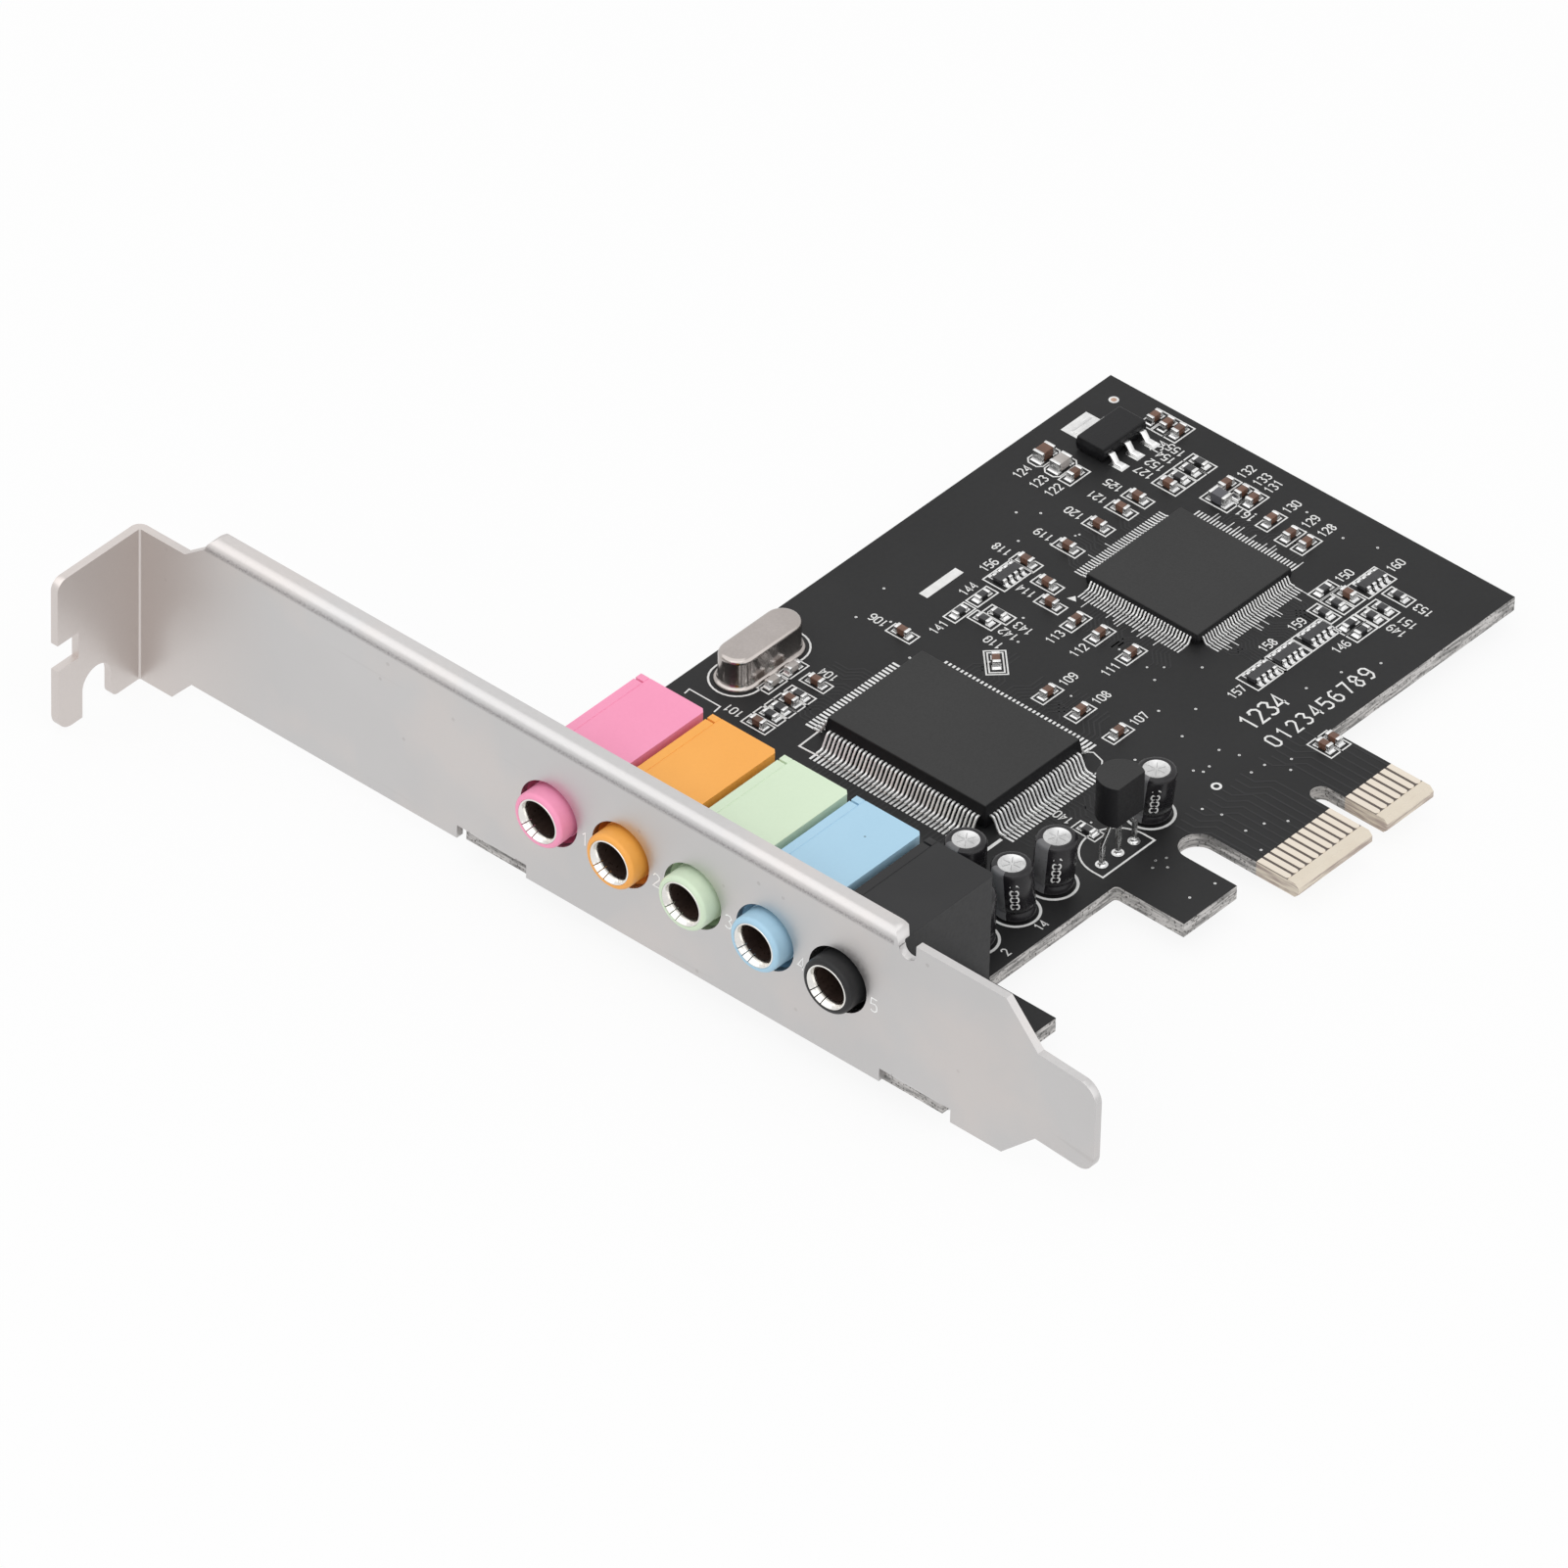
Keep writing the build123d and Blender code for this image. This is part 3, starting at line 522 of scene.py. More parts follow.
SOLDER = Metal("solder", (0.82, 0.82, 0.82), (0.60, 0.60, 0.60), (0.16, 0.30), 900.0, 4000.0, 0.004)
NICKEL = Metal("bright_nickel", (0.86, 0.85, 0.82), (0.70, 0.68, 0.65), (0.10, 0.20), 300.0, 3000.0, 0.001)
BORE = Finish("bore_shade", (0.045, 0.028, 0.022), (0.020, 0.013, 0.011), (0.25, 0.38), 300.0, 3000.0, 0.002, 0.3)
SPRING = Metal("spring_strip", (0.46, 0.40, 0.34), (0.30, 0.26, 0.22), (0.25, 0.40), 300.0, 3000.0, 0.002)
RESIN = PackageResin(
    "moulded_resin", (0.034, 0.034, 0.034), (0.028, 0.028, 0.028), (0.50, 0.66), 80.0, 4200.0, 0.008, 0.24
)
RESIN_DEEP = Finish(
    "dark_resin", (0.010, 0.010, 0.011), (0.006, 0.006, 0.007), (0.26, 0.38), 120.0, 3800.0, 0.006, 0.22
)
FILM = Finish("shrunk_film", (0.018, 0.017, 0.019), (0.012, 0.011, 0.013), (0.20, 0.30), 200.0, 2200.0, 0.004, 0.32)
STRIPE = Finish("film_stripe", (0.17, 0.17, 0.175), (0.12, 0.12, 0.125), (0.25, 0.38), 300.0, 3000.0, 0.003, 0.32)
# Painted shade: darker metal for the scored grooves on the capacitors' tops.
SCORE = Metal("scored_aluminium_shade", (0.50, 0.50, 0.50), (0.36, 0.36, 0.36), (0.30, 0.42), 500.0, 4500.0, 0.004)
ALUMINIUM = Metal("drawn_aluminium", (0.70, 0.70, 0.70), (0.48, 0.48, 0.48), (0.24, 0.36), 900.0, 4500.0, 0.006)
CAN = Metal("plated_can", (0.48, 0.44, 0.42), (0.40, 0.365, 0.345), (0.12, 0.20), 180.0, 3600.0, 0.002)
CAPACITOR_CLAY = Finish("brown_ceramic", (0.17, 0.08, 0.05), (0.09, 0.045, 0.03), (0.35, 0.5), 900.0, 7000.0, 0.004)
PALE_CERAMIC = Finish("pale_ceramic", (0.50, 0.47, 0.45), (0.36, 0.33, 0.31), (0.35, 0.5), 900.0, 7000.0, 0.004)
RESISTOR_GLAZE = Finish(
    "black_glaze", (0.035, 0.035, 0.038), (0.020, 0.020, 0.022), (0.25, 0.4), 900.0, 7000.0, 0.003
)
FERRITE = Finish("ferrite", (0.10, 0.095, 0.09), (0.05, 0.05, 0.05), (0.45, 0.6), 900.0, 5000.0, 0.006)
JACK_COLOURS = {
    "pink": MouldedPlastic("pink_plastic", (0.95, 0.345, 0.53), (0.90, 0.30, 0.48)),
    "orange": MouldedPlastic("orange_plastic", (0.94, 0.43, 0.082), (0.88, 0.38, 0.062)),
    "green": MouldedPlastic("green_plastic", (0.68, 0.81, 0.615), (0.63, 0.76, 0.565)),
    "blue": MouldedPlastic("blue_plastic", (0.415, 0.64, 0.80), (0.375, 0.60, 0.76)),
    "black": MouldedPlastic(
        "black_plastic", (0.026, 0.026, 0.027), (0.018, 0.018, 0.019), rough=(0.38, 0.50), specular=0.24
    ),
}


# Mesh building


class Draft:
    """Mesh under construction in millimetres, with one number per face for its material."""

    def __init__(self) -> None:
        """Start empty."""
        self.points: list[Vector] = []
        self.faces: list[tuple[int, ...]] = []
        self.marks: list[int] = []

    def add(self, points: Iterable[Sequence[float]], faces: Iterable[Sequence[int]], mark: int = 0) -> None:
        """Add points and the faces between them.

        Args:
            points: Points to add.
            faces: Numbers of each face's points, counted in the added ones.
            mark: Number of the faces' material.
        """
        start = len(self.points)
        self.points.extend(Vector(point) for point in points)
        for face in faces:
            self.faces.append(tuple(start + number for number in face))
            self.marks.append(mark)

    def loft(self, rings: Sequence[Sequence[Sequence[float]]], closed: bool = False, mark: int = 0) -> None:
        """Join rings of equal length with faces, and close the two ends unless the rings close on themselves.

        Args:
            rings: Closed rings of points, each joined to the next.
            closed: Whether the last ring joins the first one.
            mark: Number of the faces' material.
        """
        count = len(rings[0])
        points = [point for ring in rings for point in ring]
        last = len(rings) if closed else len(rings) - 1
        faces: list[tuple[int, ...]] = []
        for row in range(last):
            low, high = row * count, (row + 1) % len(rings) * count
            for number in range(count):
                after = (number + 1) % count
                faces.append((low + number, low + after, high + after, high + number))
        if not closed:
            faces.append(tuple(range(count))[::-1])
            faces.append(tuple((len(rings) - 1) * count + number for number in range(count)))
        self.add(points, faces, mark)

    def prism(self, outline: Sequence[Flat], low: float, high: float, mark: int = 0) -> None:
        """Raise a flat outline from one height to another."""
        self.loft([[(x, y, level) for x, y in outline] for level in (low, high)], mark=mark)

    def stroke(self, path: Sequence[Flat], width: float, low: float, high: float, closed: bool = False) -> None:
        """Draw a flat ribbon along a path, with mitred corners.

        Args:
            path: Points that the middle of the ribbon follows.
            width: Width of the ribbon.
            low: Height of its underside.
            high: Height of its top.
            closed: Whether the path returns to its first point.
        """
        points = [Vector(point) for point in path]
        count = len(points)
        sides: list[tuple[Vector, Vector]] = []
        for number, point in enumerate(points):
            before = points[number - 1] if closed or number else None
            after = points[(number + 1) % count] if closed or number < count - 1 else None
            legs = ((before, point), (point, after))
            ways = [(b - a).normalized() for a, b in legs if a is not None and b is not None]
            mean = sum(ways, Vector((0, 0)))
            mean = mean.normalized() if mean.length > 1e-6 else ways[0]
            normal = Vector((-mean.y, mean.x))
            reach = width / 2 / max(0.5, abs(mean.dot(ways[0])))
            sides.append((point + normal * reach, point - normal * reach))
        rings = [[(*left, low), (*right, low), (*right, high), (*left, high)] for left, right in sides]
        self.loft(rings, closed)

    def annulus(self, centre: Flat, outer: float, inner: float, low: float, high: float, steps: int = 24) -> None:
        """Raise a flat ring around a centre.

        Args:
            centre: Centre of the ring.
            outer: Its outer radius.
            inner: Its inner radius.
            low: Height of its underside.
            high: Height of its top.
            steps: Number of steps around.
        """
        rings = []
        for number in range(steps):
            turn = 2 * math.pi * number / steps
            way = Vector((math.cos(turn), math.sin(turn)))
            far, near = Vector(centre) + way * outer, Vector(centre) + way * inner
            rings.append([(*far, low), (*near, low), (*near, high), (*far, high)])
        self.loft(rings, closed=True)

    def turn(
        self,
        centre: Sequence[float],
        profile: Sequence[Flat],
        steps: int = 48,
        axis: Axis = Axis.ALONG_Z,
        mark: Callable[[float, int], int] = lambda angle, row: 0,
    ) -> None:
        """Turn a profile around an axis, closing its two ends with flat faces.

        Args:
            centre: Point that the profile's lengths are measured from.
            profile: Pairs of a length along the axis and a radius.
            steps: Number of steps around.
            axis: Axis that the piece is turned around.
            mark: Material number of a face from its angle in degrees and its row.
        """
        x0, y0, z0 = centre
        points = []
        for along, radius in profile:
            for number in range(steps):
                angle = 2 * math.pi * number / steps
                a, b = radius * math.cos(angle), radius * math.sin(angle)
                points.append((x0 + along, y0 + a, z0 + b) if axis is Axis.ALONG_X else (x0 + a, y0 + b, z0 + along))
        start = len(self.points)
        self.add(points, [])
        for row in range(len(profile) - 1):
            for number in range(steps):
                after = (number + 1) % steps
                low, high = start + row * steps, start + (row + 1) * steps
                self.faces.append((low + number, low + after, high + after, high + number))
                self.marks.append(mark((number + 0.5) * 360 / steps, row))
        for row in (0, len(profile) - 1):
            self.faces.append(tuple(start + row * steps + number for number in range(steps)))
            self.marks.append(mark(0.0, row))

    def finish(self, name: str, finishes: Sequence[Finish], smooth: float = SMOOTH_ANGLE) -> Thing:
        """Make the Blender object.

        Args:
            name: Name of the object.
            finishes: Finishes in the order of the faces' material numbers.
            smooth: Largest angle between faces that still shade as one surface.

        Returns:
            The new object, linked to the scene.
        """
        mesh = bpy.data.meshes.new(name)
        mesh.from_pydata([point * MM for point in self.points], [], self.faces)
        for finish in finishes:
            mesh.materials.append(finish.material())
        mesh.polygons.foreach_set("material_index", self.marks)
        made = bmesh.new()
        made.from_mesh(mesh)
        bmesh.ops.recalc_face_normals(made, faces=made.faces)
        made.to_mesh(mesh)
        made.free()
        soften(mesh, smooth)
        thing = bpy.data.objects.new(name, mesh)
        bpy.context.scene.collection.objects.link(thing)
        return thing


def soften(mesh: bpy.types.Mesh, angle: float) -> None:
    """Shade a mesh smooth, except across edges sharper than the angle.

    Args:
        mesh: Mesh that is shaded.
        angle: Largest angle that still shades as one surface.
    """
    mesh.polygons.foreach_set("use_smooth", [True] * len(mesh.polygons))
    mesh.set_sharp_from_angle(angle=angle)
    mesh.update()


def rounded_line(points: Sequence[Flat], radius: float, steps: int = 3) -> list[Flat]:
    """Round the inner corners of a path.

    Args:
        points: Corners of the path.
        radius: Distance from each corner at which its rounding starts.
        steps: Number of steps in each rounding.

    Returns:
        The points of the rounded path.
    """
    line = [Vector(points[0])]
    for before, corner, after in zip(points, points[1:], points[2:]):
        here = Vector(corner)
        back, on = Vector(before) - here, Vector(after) - here
        cut = min(radius, back.length * 0.45, on.length * 0.45)
        start, end = here + back.normalized() * cut, here + on.normalized() * cut
        for step in range(steps + 1):
            share = step / steps
            line.append(start * (1 - share) ** 2 + here * 2 * share * (1 - share) + end * share**2)
    line.append(Vector(points[-1]))
    return [(point.x, point.y) for point in line]


def arc(centre: Flat, radius: float, start: float, end: float, steps: int = 24) -> list[Flat]:
    """Points along an arc, with its angles in degrees."""
    turns = [math.radians(start + (end - start) * step / steps) for step in range(steps + 1)]
    return [(centre[0] + radius * math.cos(turn), centre[1] + radius * math.sin(turn)) for turn in turns]


def stadium(centre: Flat, length: float, width: float, steps: int = 14) -> list[Flat]:
    """Outline with straight sides and half-round ends, lying along X.

    Args:
        centre: Its middle.
        length: Its length along X.
        width: Its width.
        steps: Number of steps in each end.

    Returns:
        The points of the outline.
    """
    x, y = centre
    reach = (length - width) / 2
    return arc((x + reach, y), width / 2, -90, 90, steps) + arc((x - reach, y), width / 2, 90, 270, steps)


def rounded_copy(
    node: Thing,
    name: str,
    width: float,
    steps: int = 3,
    rim: Callable[[Vector, Vector], bool] | None = None,
    rim_width: float = 0.0,
    reshape: Callable[[Vector], Vector] | None = None,
) -> Thing:
    """Copy a node's shape and round its sharp edges.

    Args:
        node: Node that is copied.
        name: Name of the copy.
        width: Width of the rounding in millimetres.
        steps: Number of steps in the rounding.
        rim: Tells from an edge's two ends, in millimetres, whether it gets the wider rounding.
        rim_width: Width of the wider rounding in millimetres.
        reshape: Gives each point's new place in millimetres.

    Returns:
        The rounded copy, linked to the scene.
    """
    made = bmesh.new()
    made.from_mesh(node.data)
    bmesh.ops.remove_doubles(made, verts=made.verts, dist=SAME_POINT)
    bmesh.ops.dissolve_limit(made, angle_limit=math.radians(0.5), verts=made.verts, edges=made.edges)
    for vert in made.verts if reshape else ():
        vert.co = reshape(vert.co / MM) * MM
    if rim:
        wide = [edge for edge in made.edges if rim(edge.verts[0].co / MM, edge.verts[1].co / MM)]
        bmesh.ops.bevel(made, geom=wide, offset=rim_width * MM, segments=5, profile=0.5, affect="EDGES")
    mesh = bpy.data.meshes.new(name)
    made.to_mesh(mesh)
    made.free()
    thing = bpy.data.objects.new(name, mesh)
    bpy.context.scene.collection.objects.link(thing)
    bevel = thing.modifiers.new("edges", "BEVEL")
    bevel.width = width * MM
    bevel.segments = steps
    bevel.limit_method = "ANGLE"
    bevel.angle_limit = math.radians(40)
    bevel.use_clamp_overlap = True
    bake_shape(thing)
    soften(thing.data, SMOOTH_ANGLE)
    weighted = thing.modifiers.new("normals", "WEIGHTED_NORMAL")
    weighted.keep_sharp = True
    bake_shape(thing)
    return thing


def cut_with(thing: Thing, tool: Thing) -> None:
    """Cut a tool's shape out of an object, and remove the tool.

    Args:
        thing: Object that is cut.
        tool: Closed shape that is cut out of it.
    """
    cut = thing.modifiers.new("cut", "BOOLEAN")
    cut.operation = "DIFFERENCE"
    cut.solver = "EXACT"
    cut.object = tool
    bake_shape(thing)
    soften(thing.data, SMOOTH_ANGLE)
    bpy.data.objects.remove(tool)


def bake_shape(thing: Thing) -> None:
    """Turn an object's modifiers into plain mesh.

    Args:
        thing: Object with modifiers.
    """
    bpy.context.view_layer.update()
    shaped = thing.evaluated_get(bpy.context.evaluated_depsgraph_get())
    mesh = bpy.data.meshes.new_from_object(shaped)
    thing.modifiers.clear()
    thing.data = mesh


@dataclass
class Block:
    """Box read off one solid of a node: its middle, its turn and its sizes along and across."""

    x: float
    y: float
    angle: float
    length: float
    width: float
    low: float
    high: float

    def corner(self, along: float, across: float) -> Flat:
        """Point of the board at a distance along and across the block from its middle."""
        cos, sin = math.cos(self.angle), math.sin(self.angle)
        return (self.x + along * cos - across * sin, self.y + along * sin + across * cos)

    def outline(self, length: float, width: float, cut: float = 0.0) -> list[Flat]:
        """Rectangle around the block's middle, with cut corners if cut is above zero.

        Args:
            length: Length of the rectangle along the block.
            width: Its width across the block.
            cut: Length that each corner loses.

        Returns:
            Corners of the outline.
        """
        a, b = length / 2, width / 2
        if cut <= 0:
            return [self.corner(*place) for place in ((-a, -b), (a, -b), (a, b), (-a, b))]
        places = ((-a + cut, -b), (a - cut, -b), (a, -b + cut), (a, b - cut))
        return [self.corner(*place) for place in (*places, *((-x, -y) for x, y in places))]


def blocks_of(node: Thing, along_x: bool = False) -> list[Block]:
    """Read the separate boxes of a node.

    Args:
        node: Node whose solids are all boxes standing on the board.
        along_x: Whether each box is taken as lying along X, whichever side is longer.

    Returns:
        One block for each solid.
    """
    made = bmesh.new()
    made.from_mesh(node.data)
    bmesh.ops.remove_doubles(made, verts=made.verts, dist=SAME_POINT)
    left = set(made.verts)
    found = []
    while left:
        island, queue = set(), [left.pop()]
        while queue:
            vert = queue.pop()
            island.add(vert)
            for edge in vert.link_edges:
                other = edge.other_vert(vert)
                if other in left:
                    left.discard(other)
                    queue.append(other)
        places = sorted((tuple(vert.co / MM) for vert in island))
        base = [Vector(place[:2]) for place in places if place[2] < sum(p[2] for p in places) / len(places)]
        middle = sum(base, Vector((0, 0))) / len(base)
        sides = sorted((other - base[0] for other in base[1:]), key=lambda side: side.length)
        short, long = sides[0], sides[1]
        way = Vector((1, 0)) if along_x else long
        angle = math.atan2(way.y, way.x)
        spans = (long.length, short.length)
        if along_x and abs(long.x) <= abs(long.y):
            spans = (short.length, long.length)
        levels = [place[2] for place in places]
        found.append(Block(middle.x, middle.y, angle, *spans, min(levels), max(levels)))
    made.free()
    return sorted(found, key=lambda block: (block.x, block.y))


# Putting pieces onto the frame


@dataclass
class Bench:
    """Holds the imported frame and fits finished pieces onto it."""

    frame: dict
    slots: dict[str, str] = field(init=False)

    def __post_init__(self) -> None:
        """Read which material slot each node has."""
        self.slots = {part["node"]: part["material_slot"] for part in self.frame["record"]["subparts"]}

    def node(self, name: str) -> Thing:
        """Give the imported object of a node."""
        return self.frame["nodes"][name]

    def fit(self, thing: Thing, slot: str, *stands_for: str) -> Thing:
        """Make a piece ride on the card.

        Args:
            thing: Piece that is already in place.
            slot: Material slot of the piece; not used.
            stands_for: Nodes that it is shown in place of.

        Returns:
            The same piece.
        """
        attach(thing, "root")
        if stands_for:
            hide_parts(*stands_for)
        LOG.info("fitted %s with %d faces", thing.name, len(thing.data.polygons))
        return thing

    def dress(self, name: str, finish: Finish) -> None:
        """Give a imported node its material.

        Args:
            name: Name of the node.
            finish: Its finish.
        """
        thing = self.node(name)
        if not thing.material_slots:
            thing.data.materials.append(finish.material())
        for slot in thing.material_slots:
            slot.material = finish.material()
        LOG.info("dressed %s", name)

    def rounded(self, name: str, finish: Finish, width: float, steps: int = 3, **changes: object) -> Thing:
        """Show a node as a copy with rounded edges, in its finish.

        Args:
            name: Name of the node.
            finish: Its finish.
            width: Width of the rounding.
            steps: Number of steps in the rounding.
            changes: Further settings of rounded_copy.

        Returns:
            The copy, fitted in the node's place.
        """
        copy = rounded_copy(self.node(name), name + "_rounded", width, steps, **changes)
        copy.data.materials.clear()
        copy.data.materials.append(finish.material())
        return self.fit(copy, self.slots[name], name)


@dataclass
class Print:
    """White print on the component side: outlines, rings and plain numbers."""

    line: float = 0.15
    rise: float = 0.022
    number_height: float = 1.05
    beyond_end: float = 1.55
    beyond_side: float = 1.0
    draft: Draft = field(default_factory=Draft)
    taken: list[tuple[float, float, float]] = field(default_factory=list)
    # The next printed part number is one above this.
    count: int = 100

    # Strokes of each digit on a grid one wide and two tall.
    DIGITS = {
        "0": ((0.3, 0), (0.7, 0), (1, 0.3), (1, 1.7), (0.7, 2), (0.3, 2), (0, 1.7), (0, 0.3), (0.3, 0)),
        "1": ((0.2, 1.6), (0.6, 2), (0.6, 0)),
        "2": ((0, 1.6), (0.3, 2), (0.7, 2), (1, 1.7), (1, 1.3), (0, 0), (1, 0)),
        "3": ((0, 1.8), (0.3, 2), (0.7, 2), (1, 1.6), (0.6, 1.1), (1, 0.7), (1, 0.3), (0.7, 0), (0.3, 0), (0, 0.2)),
        "4": ((0.8, 0), (0.8, 2), (0, 0.6), (1, 0.6)),
        "5": ((1, 2), (0.1, 2), (0, 1.1), (0.7, 1.2), (1, 0.9), (1, 0.3), (0.7, 0), (0.3, 0), (0, 0.2)),
        "6": (
            (0.9, 1.9), (0.4, 2), (0, 1.5), (0, 0.3), (0.3, 0),
            (0.7, 0), (1, 0.3), (1, 0.8), (0.7, 1.1), (0.05, 1),
        ),
        "7": ((0, 2), (1, 2), (0.4, 0)),
        "8": (
            (0.3, 1), (0, 1.4), (0.3, 2), (0.7, 2), (1, 1.4), (0.3, 1),
            (0, 0.5), (0.3, 0), (0.7, 0), (1, 0.5), (0.7, 1),
        ),
        "9": (
            (0.1, 0.1), (0.6, 0), (1, 0.5), (1, 1.7), (0.7, 2),
            (0.3, 2), (0, 1.7), (0, 1.2), (0.3, 0.9), (0.95, 1),
        ),
    }

    def trace(self, path: Sequence[Flat], closed: bool = False, width: float | None = None) -> None:
        """Print one line."""
        self.draft.stroke(path, width or self.line, -SUNK, self.rise, closed)

    def claim(self, x: float, y: float, radius: float) -> None:
        """Keep numbers away from a round area."""
        self.taken.append((x, y, radius))

    def frame(self, block: Block, length: float, width: float, cut: float = 0.0) -> None:
        """Print a frame around a part, and keep numbers off it.

        Args:
            block: Body of the part.
            length: Length of the frame.
            width: Width of the frame.
            cut: Length that each corner loses.
        """
        self.trace(block.outline(length, width, cut), closed=True)
        for share in (-0.33, 0.0, 0.33):
            self.claim(*block.corner(length * share, 0), width * 0.5)

    def number(
        self,
        text: str,
        x: float,
        y: float,
        turned: bool = False,
        height: float = 0.98,
        gap: float = 1.45,
    ) -> None:
        """Print a plain number.

        Args:
            text: Its digits.
            x: Place of its middle along X.
            y: Place of its middle along Y.
            turned: Whether it reads along Y instead of X.
            height: Height of the digits.
            gap: Distance from one digit to the next, in half heights.
        """
        scale = height / 2
        wide = (gap * (len(text) - 1) + 1) * scale
        for place, digit in enumerate(text):
            path = []
            for u, v in self.DIGITS[digit]:
                a, b = (u + place * gap) * scale - wide / 2, (v - 1) * scale
                path.append((x - b, y + a) if turned else (x + a, y + b))
            self.trace(path, width=0.05 + 0.09 * height)

    def name_part(self, block: Block, length: float, width: float, edges: tuple[float, float, float, float]) -> None:
        """Print the next plain number beside a part where there is room.

        Args:
            block: Body of the part.
            length: Length of its frame.
            width: Width of its frame.
            edges: Limits of the board: low and high X, low and high Y.
        """
        self.count += 1
        across = abs(math.cos(block.angle)) > 0.8
        half = self.number_height * 0.62
        long, short = length / 2 + self.beyond_end, width / 2 + self.beyond_side
        ways = ((long, 0), (-long, 0), (0, short), (0, -short))
        for along, aside in ways:
            x, y = block.corner(along, aside)
            if not (edges[0] + 1 < x < edges[1] - 1 and edges[2] + 1 < y < edges[3] - 1):
                continue
            if all(math.hypot(x - a, y - b) > radius + half for a, b, radius in self.taken):
                self.number(str(self.count), x, y, turned=not across)
                self.claim(x, y, half)
                return

    def finish(self, bench: Bench) -> None:
        """Fit the print as one piece."""
        bench.fit(self.draft.finish("board_print", (INK,)), "board_mask")


@dataclass
class Metalwork:
    """Tinned pads and solder of both sides, gathered into two pieces."""

    rise: float = 0.03
    pads: Draft = field(default_factory=Draft)
    joints: Draft = field(default_factory=Draft)

    def pad(self, outline: Sequence[Flat], side: Side = Side.COMPONENT) -> None:
        """Lay a pad with a flat outline."""
        self.pads.prism(outline, side.level(-SUNK), side.level(self.rise))

    def ring(self, x: float, y: float, outer: float, inner: float, side: Side = Side.COMPONENT) -> None:
        """Lay a ring pad."""
        self.pads.annulus((x, y), outer, inner, side.level(-SUNK), side.level(self.rise))

    def cone(self, x: float, y: float, foot: float, tip: float, height: float, side: Side) -> None:
        """Build a hollow-sided solder joint around a pin.

        Args:
            x: Place of the pin along X.
            y: Place of the pin along Y.
            foot: Radius at the board.
            tip: Radius at the pin.
            height: Height of the joint.
            side: Side that it is on.
        """
        profile = []
        for step in range(6):
            share = step / 5
            radius = tip + (foot - tip) * (1 - share) ** 2.2
            profile.append((side.level(height * share), radius))
        self.joints.turn((x, y, 0), profile, 14)

    def wedge(self, block: Block, way: int, reach: float, height: float) -> None:
        """Build the hollow-sided solder between a part's end and its pad.

        Args:
            block: End cap that is soldered.
            way: 1 or -1, the way along the block in which the solder runs out.
            reach: Length of the solder along the pad.
            height: Height of the solder at the cap.
        """
        rings = []
        face = block.length / 2 - 0.02
        for across in (-block.width * 0.46, block.width * 0.46):
            ring = [(*block.corner(way * face, across), 0.0)]
            for step in range(5):
                share = step / 4
                along = way * (face + reach * share)
                ring.append((*block.corner(along, across * (1 + 0.12 * share)), height * (1 - share) ** 1.9 + 0.032))
            ring.append((*block.corner(way * (face + reach), across * 1.12), 0.0))
            rings.append(ring)
        self.joints.loft(rings)

    def finish(self, bench: Bench) -> None:
        """Fit the pads and the solder as two pieces."""
        bench.fit(self.pads.finish("tinned_pads", (TIN,)), "lead_tin")
        bench.fit(self.joints.finish("solder_joints", (SOLDER,)), "lead_tin")


# The bracket


@dataclass
class BracketSheet:
    """Folded bracket with broken edges, and a plain number stamped beside each hole."""

    thickness: float = 0.86
    edge: float = 0.13
    mark_drop: float = 4.45
    mark_side: float = 0.6
    mark_height: float = 1.5
    mark_line: float = 0.14
    mark_levels: Flat = (-0.003, 0.008)
    hole_z: float = 8.46
    rows: tuple[float, ...] = (7.35, -1.58, -10.51, -19.44, -28.37)

    def build(self, bench: Bench) -> None:
        """Fit the sheet and its marks.

        Args:
            bench: Bench that the pieces are fitted on.
        """
        bench.rounded("bracket", STEEL, self.edge)
        scale = self.mark_height / 2
        draft = Draft()
        for number, row in enumerate(self.rows, start=1):
            path = [((u - 0.5) * scale, (v - 1) * scale) for u, v in Print.DIGITS[str(number)]]
            start = len(draft.points)
            draft.stroke(path, self.mark_line, *self.mark_levels)
            for point in draft.points[start:]:
                u, v, rise = point
                point.xyz = (-rise, row - self.mark_drop - u, self.hole_z - self.mark_side + v)
        bench.fit(draft.finish("bracket_numbers", (STAMP,)), "bracket_steel")


